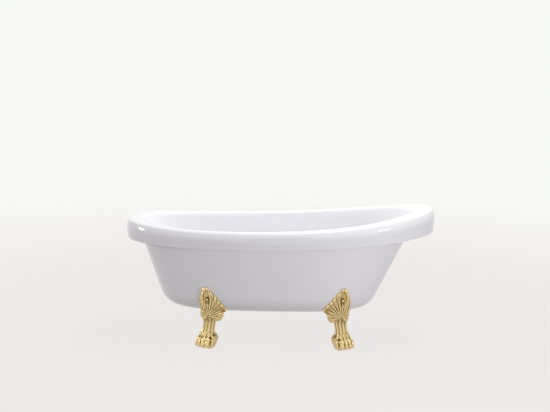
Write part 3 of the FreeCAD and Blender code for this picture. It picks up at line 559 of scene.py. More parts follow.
@dataclass
class Skins:
    """The bathing skin with its rolled rim and band, and the outer skin."""

    rim: RimSizes = field(default_factory=RimSizes)
    basin_wall: float = 0.006
    skirt_wall: float = 0.005
    seam: float = 0.0004
    lip_round: float = 0.002
    rail_height: float = 0.030
    board: float = 0.012
    # the turn's radius, then the flat's reach and the walls' lean to the foot, the head and the side
    basin_turn: float = 0.095
    basin_flat: Triple = (0.505, 0.405, 0.165)
    basin_lean_deg: Triple = (26.0, 28.5, 11.5)
    skirt_turn: float = 0.120
    skirt_flat: Triple = (0.553, 0.424, 0.195)
    skirt_lean_deg: Triple = (18.6, 27.1, 11.5)
    waste_x: float = -0.430
    waste_hole: float = 0.0245
    access_hole: float = 0.070
    rim_steps: int = 9

    def __post_init__(self) -> None:
        """Set up the two flared forms."""
        rim = self.rim
        floor = rim.base + self.skirt_wall + self.rail_height + self.board + self.basin_wall
        self.basin_form = Flare(rim, floor, self.basin_turn, self.basin_flat, self.basin_lean_deg)
        self.skirt_form = Flare(rim, rim.base, self.skirt_turn, self.skirt_flat, self.skirt_lean_deg)
        self.skirt_top = rim.low - rim.band_depth

    def around_hole(self, radius: float, ring: np.ndarray) -> List[np.ndarray]:
        """Flat rings that open from the waste's hole to a ring of the same height.

        Args:
            radius: The hole's radius.
            ring: The ring around it.

        Returns:
            Rings from the hole outwards, without the last.
        """
        hole = np.stack([self.waste_x + radius * np.cos(self.rim.angles),
                         radius * np.sin(self.rim.angles), ring[:, 2]], 1)
        return [hole + (ring - hole) * t for t in (0, 0.02, 0.06, 0.14, 0.26, 0.42, 0.6, 0.8, 0.94)]

    def rim_rings(self) -> List[np.ndarray]:
        """Rings over the rim, from the top of the bathing wall to the band's lower edge."""
        rim, form = self.rim, self.basin_form
        top = rim.low - rim.inner_shoulder
        lip_foot, lip_head, lip_side = (
            half - float(form.reach(top + rise)[k]) for k, (half, rise) in enumerate(
                ((rim.half, rim.foot_rise), (rim.half, rim.head_rise), (rim.width / 2, 0.0))))
        edge = self.lip_round
        before = top - 0.05
        stations = np.array([
            form.ring(before, 1.0 - 0.05 / (top - form.turn_top)),
            form.ring(top, 1.0),
            rim.inset(0.80 * lip_foot, 0.78 * lip_head, 0.84 * lip_side, 0.0065),
            rim.crown(0.0),
            rim.inset(0.008, 0.008, 0.008, 0.0075),
            rim.inset(0, 0, 0, rim.shoulder),
            rim.inset(0, 0, rim.band_wall - 0.001, rim.band_depth - edge, rim.droop + 0.01)])
        smooth = smooth_through(stations, self.rim_steps)[self.rim_steps:]
        crown = rim.low + rim.climb()
        smooth[:, :, 2] = np.minimum(smooth[:, :, 2], crown)
        for axis, limit in ((0, rim.half), (1, rim.width / 2)):
            smooth[:, :, axis] = np.clip(smooth[:, :, axis], -limit, limit)
        return list(smooth)

    def build_basin(self) -> Piece:
        """Build the bathing skin with its rim and band as one closed shell."""
        rim, form = self.rim, self.basin_form
        edge, wall = self.lip_round, rim.band_wall
        lip_wall = wall - 0.001
        top = rim.low - rim.inner_shoulder
        under = form.offset(self.basin_wall)
        turn = form.turn_rings(16)
        seen = self.around_hole(self.waste_hole, turn[0]) + turn + form.wall_rings(top, 1.0, 22)[:-1]
        seen += self.rim_rings()
        start = 0.3 * edge
        lip = [rim.inset(start, start, lip_wall + start, rim.band_depth - start, rim.droop),
               rim.inset(edge, edge, lip_wall + edge, rim.band_depth, rim.droop),
               rim.inset(lip_wall, lip_wall, wall + 0.001, rim.band_depth - 0.0002, rim.droop)]
        back = [rim.inset(wall, wall, wall + 0.002, rim.band_depth - 0.001, rim.droop),
                rim.inset(wall, wall, wall, rim.shoulder + 0.003),
                rim.crown(self.basin_wall),
                under.ring(top - 0.006, 1.0)]
        below = under.turn_rings(6)[::-1]
        below += self.around_hole(self.waste_hole, below[-1])[::-1]
        return closed_shell("basin_shell", seen + lip + back + below)

    def build_skirt(self) -> Piece:
        """Build the outer skin with the shelf that closes under the band."""
        rim, form = self.rim, self.skirt_form
        inside = form.offset(-self.skirt_wall)
        gap = rim.band_wall + self.seam
        turn = form.turn_rings(18)
        outer = self.around_hole(self.access_hole, turn[0]) + turn
        outer += form.wall_rings(self.skirt_top, rim.droop, 24)
        shelf_edge = rim.inset(gap, gap, gap + 0.002, rim.band_depth, rim.droop)
        outer += [outer[-1] + (shelf_edge - outer[-1]) * t for t in (0.03, 0.25, 0.5, 0.75, 0.97)]
        outer += [shelf_edge, rim.inset(gap, gap, gap + 0.002, rim.band_depth - self.skirt_wall, rim.droop)]
        inner = [inside.ring(self.skirt_top + self.skirt_wall, rim.droop)] + inside.turn_rings(6)[::-1]
        inner += self.around_hole(self.access_hole, inner[-1])[::-1]
        return closed_shell("skirt_shell", outer + inner)

    def build(self) -> None:
        """Build both skins and put them in the CAD nodes' places."""
        lengths = ["basin_%s_%s" % (side, part) for side in ("front", "rear")
                   for part in ("foot_end", "side", "head_end")]
        for made, nodes in ((self.build_basin(), ["basin_floor"] + lengths),
                            (self.build_skirt(), ["outer_skirt"])):
            face_outwards(made)
            dress(made, ACRYLIC, nodes, "bath")


def face_outwards(made: Piece) -> None:
    """Turn a closed mesh's faces out if its volume says they point in."""
    mesh = made.data
    mesh.calc_loop_triangles()
    corners = rows_of(mesh.vertices, "co")
    a, b, c = (corners[column] for column in rows_of(mesh.loop_triangles, "vertices", 3, int).T)
    if np.einsum("ij,ij->i", a, np.cross(b, c)).sum() < 0:
        mesh.flip_normals()


# ---- feet ----------------------------------------------------------------------------------------
class End(Enum):
    """Which end of the bath."""

    FOOT = -1
    HEAD = 1


class Side(Enum):
    """Which side of the bath."""

    FRONT = -1
    REAR = 1


@dataclass(frozen=True)
class FootSizes:
    """Sizes of a claw foot, in metres and degrees."""

    spread: float = 0.713
    middle: float = -0.025
    row: float = 0.232
    turn_deg: float = 32.0
    leaf_turn_deg: float = 12.0
    height: float = 0.346
    leaf_proud: float = 0.009
    shank_half: float = 0.0360
    shank_shift: float = 0.0030
    shank_deep: float = 0.86
    ribs: int = 7
    rib_depth: float = 0.0064
    knee_out: float = 0.040
    knee_round: float = 1.6
    knee_reach: float = 0.098
    knee_back: float = 0.024
    # out, share of the half width, up
    shank_line: Tuple[Triple, ...] = (
        (0.006, 0.92, 0.030), (0.008, 0.98, 0.050), (0.010, 1.02, 0.070), (0.011, 1.01, 0.088),
        (0.008, 0.98, 0.104), (0.004, 0.98, 0.120), (0.000, 1.01, 0.136), (-0.002, 1.05, 0.150),
        (-0.001, 1.12, 0.163), (0.002, 1.18, 0.176))
    shank_corners: int = 144
    rib_fan_deg: float = 244.0
    rib_span: Triple = (0.045, 0.168, 0.014)
    rib_end: Triple = (1.10, 0.160, 0.0062)
    # up, then shares of the width, of the back and of the front
    heel_levels: Tuple[Quad, ...] = (
        (0.0, 0.90, 0.36, 0.94), (0.004, 0.95, 0.42, 1.0), (0.026, 0.98, 0.80, 0.98), (0.044, 1.0, 1.0, 0.80),
        (0.058, 0.90, 0.90, 0.5), (0.076, 0.66, 0.66, 0.3))
    heel_reach: Pair = (-0.045, 0.042)
    heel_halves: Pair = (0.035, 0.050)
    heel_chamfer: float = 0.006
    # up, outer edge, inner edge
    knee_levels: Tuple[Triple, ...] = (
        (0.140, -0.022, 0.020), (0.152, -0.026, 0.028), (0.164, -0.030, 0.042), (0.176, -0.033, 0.062),
        (0.1894, -0.036, 0.082))
    leaf_root: Pair = (0.008, 0.181)
    leaf_edge: Tuple[Pair, ...] = (
        (-0.022, 0.146), (-0.031, 0.172), (-0.037, 0.203), (-0.040, 0.235), (-0.040, 0.264),
        (-0.036, 0.288), (-0.028, 0.306), (-0.017, 0.320), (-0.006, 0.330), (0.005, 0.334),
        (0.015, 0.334), (0.029, 0.323), (0.044, 0.306), (0.058, 0.289), (0.070, 0.272),
        (0.083, 0.255), (0.095, 0.238), (0.106, 0.221), (0.102, 0.207), (0.091, 0.194),
        (0.067, 0.180), (0.054, 0.164), (0.040, 0.150))
    petals_deg: Tuple[float, ...] = (-118, -84, -56, -34, -16, -1, 12, 25, 38, 52, 68, 86, 108)
    petal_relief: float = 0.0070
    scallop: float = 0.055
    leaf_rows: int = 54
    leaf_leans: int = 280
    leaf_start: float = 0.004
    leaf_pillow: float = 0.007
    leaf_roll: float = 0.0045
    bead_from_deg: float = 8.0
    # share of the reach, radius, how proud
    petal_beads: Tuple[Triple, ...] = ((0.94, 0.0062, 0.0040), (0.60, 0.0040, 0.0080))
    # inward, up, radius, how proud: the scroll's two balls and the drops in the eye
    balls: Tuple[Quad, ...] = (
        (-0.004, 0.3338, 0.0120, 0.006), (0.011, 0.3372, 0.0080, 0.006),
        (0.009, 0.277, 0.0066, 0.0035), (0.009, 0.258, 0.0042, 0.0020))
    eye: Quad = (0.009, 0.269, 0.0130, 0.024)
    eye_depth: float = 0.0075
    outer_ridge: Tuple[Triple, ...] = (
        (-0.002, 0.326, 0.0060), (-0.013, 0.311, 0.0085), (-0.019, 0.290, 0.0105), (-0.020, 0.266, 0.0110),
        (-0.018, 0.242, 0.0100), (-0.012, 0.219, 0.0080), (-0.003, 0.200, 0.0045))
    inner_ridge: Tuple[Triple, ...] = (
        (0.016, 0.322, 0.0040), (0.024, 0.306, 0.0050), (0.0285, 0.284, 0.0054), (0.026, 0.262, 0.0050),
        (0.019, 0.242, 0.0046), (0.011, 0.224, 0.0034))
    toes: int = 4
    toe_half: float = 0.0145
    toe_fan_deg: float = 15.0
    toe_root: float = 0.014
    toe_short: float = 0.003
    # (out, up), then half width in toe halves and half height
    toe_back: Tuple[Tuple[Pair, Pair], ...] = (
        ((0.004, 0.092), (0.62, 0.0090)), ((0.024, 0.083), (0.78, 0.0120)), ((0.038, 0.071), (1.10, 0.0160)),
        ((0.050, 0.059), (0.84, 0.0130)), ((0.061, 0.048), (1.12, 0.0165)), ((0.070, 0.035), (0.88, 0.0135)),
        ((0.075, 0.022), (0.98, 0.0140)))
    toe_pad: Tuple[Tuple[Pair, Pair], ...] = (
        ((0.030, 0.036), (1.10, 0.0300)), ((0.048, 0.024), (1.08, 0.0220)), ((0.063, 0.0115), (1.00, 0.0112)))
    claw: Tuple[Tuple[Pair, Pair], ...] = (
        ((0.074, 0.027), (0.5241, 0.0080)), ((0.082, 0.018), (0.4828, 0.0074)),
        ((0.081, 0.011), (0.3724, 0.0060)))
    # out, up, radius in toe halves
    knuckles: Tuple[Triple, ...] = ((0.042, 0.082, 0.46), (0.064, 0.058, 0.52), (0.079, 0.037, 0.42))
    tuft_fan_deg: float = 30.0
    tuft_out: float = 0.008
    tuft_deep: float = 1.06
    # share of the shank's half width and up, then half width and half height
    tuft_line: Tuple[Tuple[Pair, Pair], ...] = (
        ((0.88, 0.094), (0.0030, 0.0030)), ((0.98, 0.081), (0.0066, 0.0068)),
        ((1.14, 0.068), (0.0066, 0.0070)), ((1.38, 0.055), (0.0030, 0.0032)))
    tongue_end: float = -0.142
    tongue_half: float = 0.023
    tongue_thick: float = 0.008
    voxel: float = 0.0016
    ankle_dent: Tuple[float, ...] = (0.004, 0.0335, 0.070, 0.0085, 0.0095)
    scroll_dent: Tuple[float, ...] = (0.0180, 0.3290, 0.0062, 0.0115)
    quick_voxel: float = 1.6


@dataclass
class ClawFoot:
    """One cast foot: paw, ribbed shank, knee and leaf, with its back on the outer skin."""

    end: End
    skins: Skins
    sizes: FootSizes = field(default_factory=FootSizes)

    def __post_init__(self) -> None:
        """Set up the directions of the paw and of the leaf on the front side."""
        s = self.sizes
        self.origin = np.array([s.middle + self.end.value * s.spread / 2, -s.row, 0.0])
        self.inner = -float(self.end.value)
        self.out, self.across = self.directions(s.turn_deg)
        self.leaf_out, self.leaf_across = self.directions(s.leaf_turn_deg)

    def directions(self, turn_deg: float) -> Tuple[np.ndarray, np.ndarray]:
        """Give the ways out of the bath and across, for a turn towards this end."""
        turn = math.radians(turn_deg)
        out = np.array([self.end.value * math.sin(turn), -math.cos(turn), 0.0])
        return out, np.cross(UP, out)

    def place(self, local: np.ndarray) -> np.ndarray:
        """Turn (out, across, up) from the shank's axis into places in the bath's frame."""
        local = np.asarray(local, float)
        return (self.origin + local[..., 0:1] * self.out + local[..., 1:2] * self.across
                + local[..., 2:3] * UP)

    def place_leaf(self, out: np.ndarray, inward: np.ndarray, up: np.ndarray) -> np.ndarray:
        """Turn the leaf's own (out, inward, up) into places in the bath's frame."""
        out, inward, up = np.broadcast_arrays(*(np.asarray(v, float)[..., None] for v in (out, inward, up)))
        return self.origin + out * self.leaf_out + inward * self.inner * self.leaf_across + up * UP

    def on_leaf(self, inward: float, up: float, proud: float) -> np.ndarray:
        """Give the place that stands proud of the leaf's ground by so much."""
        spot_in, spot_up = np.array([inward]), np.array([up])
        return self.place_leaf(self.ground(spot_in, spot_up) + proud, spot_in, spot_up)[0]

    def skin(self, inward: np.ndarray, up: np.ndarray) -> np.ndarray:
        """How far out the outer skin lies, in the leaf's directions."""
        low, high = np.full(inward.shape, -0.25), np.full(inward.shape, 0.25)
        for _ in range(30):
            middle = (low + high) / 2
            spot = self.place_leaf(middle, inward, up)
            inside = self.skins.skirt_form.level(spot[..., 0], spot[..., 1], spot[..., 2]) < 1
            low, high = np.where(inside, middle, low), np.where(inside, high, middle)
        return low

    def ground(self, inward: np.ndarray, up: np.ndarray) -> np.ndarray:
        """How far out the leaf's ground lies: on the knee below, then hugging the skin."""
        s = self.sizes
        swell = s.knee_out * (1 - s.knee_round * (inward / s.knee_reach) ** 2)
        hug = self.skin(inward, np.maximum(up, self.skins.rim.base + 0.012)) + s.leaf_proud
        blend = 0.007
        return np.log(np.exp(swell / blend) + np.exp(hug / blend)) * blend - 0.001

    def shank(self, patch: Patchwork) -> None:
        """Add the shank: ribs in front and at the sides, and a lean out towards the paw."""
        s = self.sizes
        fan = math.radians(s.rib_fan_deg)
        angles = 2 * np.pi * np.arange(s.shank_corners) / s.shank_corners - np.pi
        share = angles / fan + 0.5
        waves = np.abs(np.sin(np.pi * s.ribs * share)) ** 0.75
        ribbed = np.where((share > 0) & (share < 1), waves, 1.0)
        first, last, fade = s.rib_span
        rings = []
        for out, wide, up in smooth_through(np.array(s.shank_line)[:, None, :], 3)[:, 0, :]:
            depth = np.clip(min(up - first, last - up) / fade, 0.1, 1.0)
            size = s.shank_half * wide - s.rib_depth * depth * (1 - ribbed)
            rings.append(self.around_shank(out, size, angles, up))
        patch.tube(rings)
        share, up, radius = s.rib_end
        ends = fan * ((np.arange(s.ribs) + 0.5) / s.ribs - 0.5)
        for spot in self.around_shank(0.0, s.shank_half * share, ends, up):
            self.blob(patch, spot, radius)

    def around_shank(self, out: float, size: np.ndarray, angles: np.ndarray, up: float) -> np.ndarray:
        """Give places around the shank's oval.

        Args:
            out: How far out its middle lies.
            size: Half its width in each direction.
            angles: The directions.
            up: The height.

        Returns:
            The places in the bath's frame.
        """
        s = self.sizes
        return self.place(np.stack([out + s.shank_deep * size * np.cos(angles),
                                    s.shank_shift * self.inner + size * np.sin(angles),
                                    np.full(len(angles), up)], 1))

    def blob(self, patch: Patchwork, centre: np.ndarray, radius: float) -> None:
        """Add a ball.

        Args:
            patch: Where it goes.
            centre: Its middle in the bath's frame.
            radius: Its radius.
        """
        around = 2 * np.pi * np.arange(24) / 24
        rings = []
        for k in range(1, 14):
            polar = np.pi * k / 14 - np.pi / 2
            ring = np.stack([np.cos(polar) * np.cos(around), np.cos(polar) * np.sin(around),
                             np.full(24, math.sin(polar))], 1)
            rings.append(np.asarray(centre) + radius * ring)
        patch.tube(rings)

    def limb(self, patch: Patchwork, spine: np.ndarray, radii: Sequence[Pair],
             steps: int = 5) -> None:
        """Add a limb with an oval section along a smooth spine.

        Args:
            patch: Where it goes.
            spine: Places along it in the bath's frame.
            radii: Half its width and half its height at each place.
            steps: Steps between places.
        """
        path = smooth_through(np.asarray(spine, float)[:, None, :], steps)[:, 0, :]
        widths = smooth_through(np.array([[[w, h, 0.0]] for w, h in radii]), steps)[:, 0, :]
        around = 2 * np.pi * np.arange(24) / 24
        rings = []
        for k, spot in enumerate(path):
            way = path[min(k + 1, len(path) - 1)] - path[max(k - 1, 0)]
            way = way / (np.linalg.norm(way) + 1e-9)
            beside = np.cross(UP, way)
            beside = beside / (np.linalg.norm(beside) + 1e-9)
            lift = np.cross(way, beside)
            ring = (spot + np.outer(np.cos(around) * widths[k, 0], beside)
                    + np.outer(np.sin(around) * widths[k, 1], lift))
            ring[:, 2] = np.maximum(ring[:, 2], 0.0)
            rings.append(ring)
        patch.tube(rings)

    def ridge(self, patch: Patchwork, spine: Sequence[Triple], proud: float) -> None:
        """Lay a round ridge on the leaf.

        Args:
            patch: Where it goes.
            spine: Places along it as (inward, up, radius).
            proud: How far its middle stands off the leaf's ground.
        """
        line = np.array(spine)
        out = self.ground(line[:, 0], line[:, 1]) + proud
        self.limb(patch, self.place_leaf(out, line[:, 0], line[:, 1]), [(r, r * 0.9) for r in line[:, 2]])

    def paw(self, patch: Patchwork) -> None:
        """Add the heel, the knuckled toes with their claws, and the tufts round the ankle."""
        s = self.sizes
        patch.tube([self.heel_ring(*level) for level in s.heel_levels])
        for k in range(s.toes):
            self.toe(patch, k - (s.toes - 1) / 2)
        for k in range(s.toes + 1):
            turn = math.radians(s.tuft_fan_deg) * (k - s.toes / 2)
            line = [(s.tuft_out + s.shank_deep * s.shank_half * grow * s.tuft_deep * math.cos(turn),
                     s.shank_half * grow * math.sin(turn), up) for (grow, up), _ in s.tuft_line]
            self.limb(patch, self.place(np.array(line)), [radii for _, radii in s.tuft_line])

    def heel_ring(self, up: float, wide: float, back: float, front: float) -> np.ndarray:
        """Give the heel's outline at a height, for shares of its width and its reach."""
        s = self.sizes
        rear, nose = s.heel_reach[0] * back, s.heel_reach[1] * front
        rear_half, nose_half = (half * wide for half in s.heel_halves)
        side = [(rear, 0.0), (rear, rear_half * 0.8), (rear + s.heel_chamfer, rear_half),
                (0.0, (rear_half + nose_half) / 2), (nose, nose_half),
                (nose + s.heel_chamfer, nose_half * 0.6), (nose + 0.008, 0.0)]
        return self.place(np.array([(u, -v, up) for u, v in side] + [(u, v, up) for u, v in side[-2:0:-1]]))

    def toe(self, patch: Patchwork, away: float) -> None:
        """Add a toe: its knuckled back, the pad under it and the claw.

        Args:
            patch: Where it goes.
            away: How many toes it stands away from the paw's middle.
        """
        s = self.sizes
        fan = math.radians(s.toe_fan_deg) * away
        shift = s.toe_root - s.toe_short * abs(away)

        def spot(out: float, up: float) -> Triple:
            """Place on this toe's line."""
            return ((out + shift) * math.cos(fan) - s.toe_root, (out + shift) * math.sin(fan), up)
        for line in (s.toe_back, s.toe_pad, s.claw):
            self.limb(patch, self.place(np.array([spot(*at) for at, _ in line])),
                      [(s.toe_half * wide, tall) for _, (wide, tall) in line])
        for out, up, size in s.knuckles:
            self.blob(patch, self.place([spot(out, up)])[0], s.toe_half * size)

    def knee(self, patch: Patchwork) -> None:
        """Add the swelling between the shank and the leaf, and the tongue that is bolted on."""
        s = self.sizes
        across = 33
        rings = []
        for up, outer, inner in s.knee_levels:
            inward = outer + (inner - outer) * (0.5 - 0.5 * np.cos(np.linspace(0, np.pi, across)))
            levels = np.full(across, up)
            nose = self.ground(inward, levels) - 0.005 - 0.3 * max(0.0, 0.164 - up)
            rear = np.minimum(-s.knee_back, nose - 0.022)
            rings.append(np.vstack([self.place_leaf(nose, inward, levels),
                                    self.place_leaf(rear[::-1], inward[::-1], levels)]))
        patch.tube(rings)
        top = self.skins.rim.base - 0.0003
        patch.tube([self.place(np.array([(s.tongue_end, -s.tongue_half, up), (0.0, -s.tongue_half, up),
                                         (0.0, s.tongue_half, up), (s.tongue_end, s.tongue_half, up)]))
                    for up in (top - s.tongue_thick, top)])

    def edge(self) -> Tuple[np.ndarray, np.ndarray]:
        """Give the leaf's edge as directions from the root and the reach in each."""
        away = np.array(self.sizes.leaf_edge) - np.array(self.sizes.leaf_root)
        return np.unwrap(np.arctan2(away[:, 0], away[:, 1])), np.hypot(away[:, 0], away[:, 1])

    def fan(self) -> Tuple[np.ndarray, np.ndarray, np.ndarray]:
        """Lay the petals out around the root.

        Returns:
            The directions, the scalloped reach in each, and a wave that is 1 along a petal's middle.
        """
        s = self.sizes
        edge_lean, edge_reach = self.edge()
        leans = np.linspace(edge_lean[0], edge_lean[-1], s.leaf_leans)
        reach = np.interp(leans, edge_lean, edge_reach)
        kernel = np.hanning(15) / np.hanning(15).sum()
        reach = np.convolve(np.pad(reach, 7, mode="edge"), kernel, mode="valid")
        middles = np.radians(np.array(s.petals_deg, float))
        between = (middles[1:] + middles[:-1]) / 2
        borders = np.concatenate([[2 * middles[0] - between[0]], between, [2 * middles[-1] - between[-1]]])
        wave = np.abs(np.sin(np.pi * np.interp(leans, borders, np.arange(len(borders)))))
        inner_side = np.clip((leans + math.radians(12.0)) / math.radians(24.0), 0, 1)
        return leans, reach * (1 + s.scallop * inner_side * (wave ** 0.8 - 0.75)), wave

    def relief(self, share: np.ndarray, lean: np.ndarray, wave: np.ndarray, inward: np.ndarray,
               up: np.ndarray) -> np.ndarray:
        """Give how far the petals stand off the leaf's ground.

        Args:
            share: Share of the reach, from the root to the edge.
            lean: Direction from the root.
            wave: The petals' wave.
            inward: Place across the leaf.
            up: Height.

        Returns:
            The relief: petals with a spoon near the tip and a vein, and the hollow of the eye.
        """
        s = self.sizes
        spoon = np.exp(-((share - 0.74) / 0.11) ** 2) * wave ** 3
        vein = np.exp(-((share - 0.45) / 0.10) ** 2) * wave
        rise = s.petal_relief * (wave ** 0.7 * (0.30 + 0.70 * np.clip(share / 0.40, 0, 1))
                                 - 0.50 * spoon + 0.25 * vein)
        eye_in, eye_up, eye_half, eye_tall = s.eye
        away = np.hypot((inward - eye_in) / eye_half, (up - eye_up) / eye_tall)
        rise = rise * (1 - 0.9 * np.exp(-away ** 4 * 0.3)) - s.eye_depth * np.exp(-away ** 4 * 0.8)
        return rise * (1 - 0.7 * np.clip((math.radians(-55.0) - lean) / math.radians(20.0), 0, 1))

    def leaf(self, patch: Patchwork) -> None:
        """Add the leaf: petals that fan from the root, a rolled edge and a back cut to the skin."""
        s = self.sizes
        leans, outline, wave = self.fan()
        share, lean = np.meshgrid(np.linspace(0, 1, s.leaf_rows), leans, indexing="ij")
        radius = s.leaf_start + share * (outline - s.leaf_start)
        inward, up = s.leaf_root[0] + radius * np.sin(lean), s.leaf_root[1] + radius * np.cos(lean)
        rolled = np.sqrt(np.clip(1 - np.clip((share - 0.93) / 0.07, 0, 1) ** 2, 0, 1))
        relief = self.relief(share, lean, wave, inward, up) + s.leaf_pillow * (1 - share ** 2)
        ground = self.ground(inward, up)
        front = ground - s.leaf_roll * (1 - rolled) + relief * np.clip(rolled + 0.15, 0, 1)
        turn = self.skins.rim.base + 0.012
        skin = self.skin(inward, np.maximum(up, turn))
        under = np.clip((turn - up) / 0.012, 0, 1)
        back = np.minimum((skin - 0.003) * (1 - under) + (ground - 0.020) * under, front - 0.006)
        borders = []
        for sheet, flip in ((front, False), (back, True)):
            grid = [patch.ring(self.place_leaf(*row)) for row in zip(sheet, inward, up)]
            for low, high in zip(grid, grid[1:]):
                for k in range(len(leans) - 1):
                    face = [int(low[k]), int(high[k]), int(high[k + 1]), int(low[k + 1])]
                    patch.faces.append(face[::-1] if flip else face)
            borders.append([r[0] for r in grid] + list(grid[-1][1:]) + [r[-1] for r in grid[-2::-1]]
                           + list(grid[0][-2:0:-1]))
        seen, hidden = (border + border[:1] for border in borders)
        for k in range(len(seen) - 1):
            patch.faces.append([int(n) for n in (seen[k], hidden[k], hidden[k + 1], seen[k + 1])])

    def beads(self, patch: Patchwork) -> None:
        """Add the beads on the petals of the inner side."""
        s = self.sizes
        for lean in np.radians([deg for deg in s.petals_deg if deg >= s.bead_from_deg]):
            tip = float(np.interp(lean, *self.edge()))
            for share, radius, proud in s.petal_beads:
                self.blob(patch, self.on_leaf(s.leaf_root[0] + tip * share * math.sin(lean),
                                              s.leaf_root[1] + tip * share * math.cos(lean), proud), radius)

    def knobs(self, patch: Patchwork) -> None:
        """Add the ridges beside the eye, the drops in it and the scroll at the leaf's tip."""
        s = self.sizes
        self.ridge(patch, s.outer_ridge, 0.0045)
        self.ridge(patch, s.inner_ridge, 0.0060)
        for inward, up, radius, proud in s.balls:
            self.blob(patch, self.on_leaf(inward, up, proud), radius)

    def dent(self, corners: np.ndarray, normals: np.ndarray) -> None:
        """Press in the hollow at the ankle and the one beside the scroll.

        Args:
            corners: The cast foot's corners, which are moved.
            normals: Their normals.
        """
        out, inward, up, size, deep = self.sizes.ankle_dent
        scroll_in, scroll_up, scroll_size, scroll_deep = self.sizes.scroll_dent
        for middle, radius, depth in (
                (self.place([[out, inward * self.inner, up]])[0], size, deep),
                (self.on_leaf(scroll_in, scroll_up, 0.005), scroll_size, scroll_deep)):
            away = np.linalg.norm(corners - middle, axis=1) / radius
            corners -= normals * (depth * np.exp(-away ** 2))[:, None]

    def build(self) -> Piece:
        """Cast the foot in one piece.

        Returns:
            The front foot of this end.
        """
        patch = Patchwork()
        for add in (self.shank, self.paw, self.knee, self.leaf, self.beads, self.knobs):
            add(patch)
        rough = patch.make("rough_foot")
        cast = rough.modifiers.new("cast", "REMESH")
        cast.mode = "VOXEL"
        cast.voxel_size = self.sizes.voxel * 1.0
        polish = rough.modifiers.new("polish", "SMOOTH")
        polish.factor = 0.5
        polish.iterations = 2
        made = baked(rough, "front_%s_end_claw" % self.end.name.lower())
        mesh = made.data
        corners = rows_of(mesh.vertices, "co")
        self.dent(corners, rows_of(mesh.vertices, "normal"))
        corners[:, 2] = np.clip(corners[:, 2], 0.0, self.sizes.height)
        mesh.vertices.foreach_set("co", corners.ravel())
        mesh.polygons.foreach_set("use_smooth", [True] * len(mesh.polygons))
        mark_shade_and_highlight_masks(mesh)
        face_outwards(made)
        return made


def mark_shade_and_highlight_masks(mesh: bpy.types.Mesh) -> None:
    """Write how deep in a hollow and how far on a crest each corner lies, from 0 to 1, as masks for painted
    shade and a painted highlight.

    Args:
        mesh: The mesh to mark.
    """
    fine, coarse = (4, 0.0006), (13, 0.0016)
    corners, normals = rows_of(mesh.vertices, "co"), rows_of(mesh.vertices, "normal")
    first, second = rows_of(mesh.edges, "vertices", 2, int).T
    count = len(corners)
    degree = np.bincount(first, minlength=count) + np.bincount(second, minlength=count)
    smooth = corners.copy()
    depth = np.zeros(count)
    for step in range(coarse[0] + 1):
        total = [np.bincount(first, column[second], count) + np.bincount(second, column[first], count)
                 for column in smooth.T]
        smooth = np.stack(total, 1) / np.maximum(degree, 1)[:, None]
        for last, size in (fine, coarse):
            if step == last:
                depth += np.einsum("ij,ij->i", smooth - corners, normals) / size
    # hollow mask: painted shade; crest mask: painted highlight
    for name, shade in (("hollow", depth - 0.05), ("crest", -0.8 * depth - 0.2)):
        layer = mesh.attributes.new(name, "FLOAT", "POINT")
        layer.data.foreach_set("value", np.clip(shade, 0.0, 1.0).astype(np.float32))


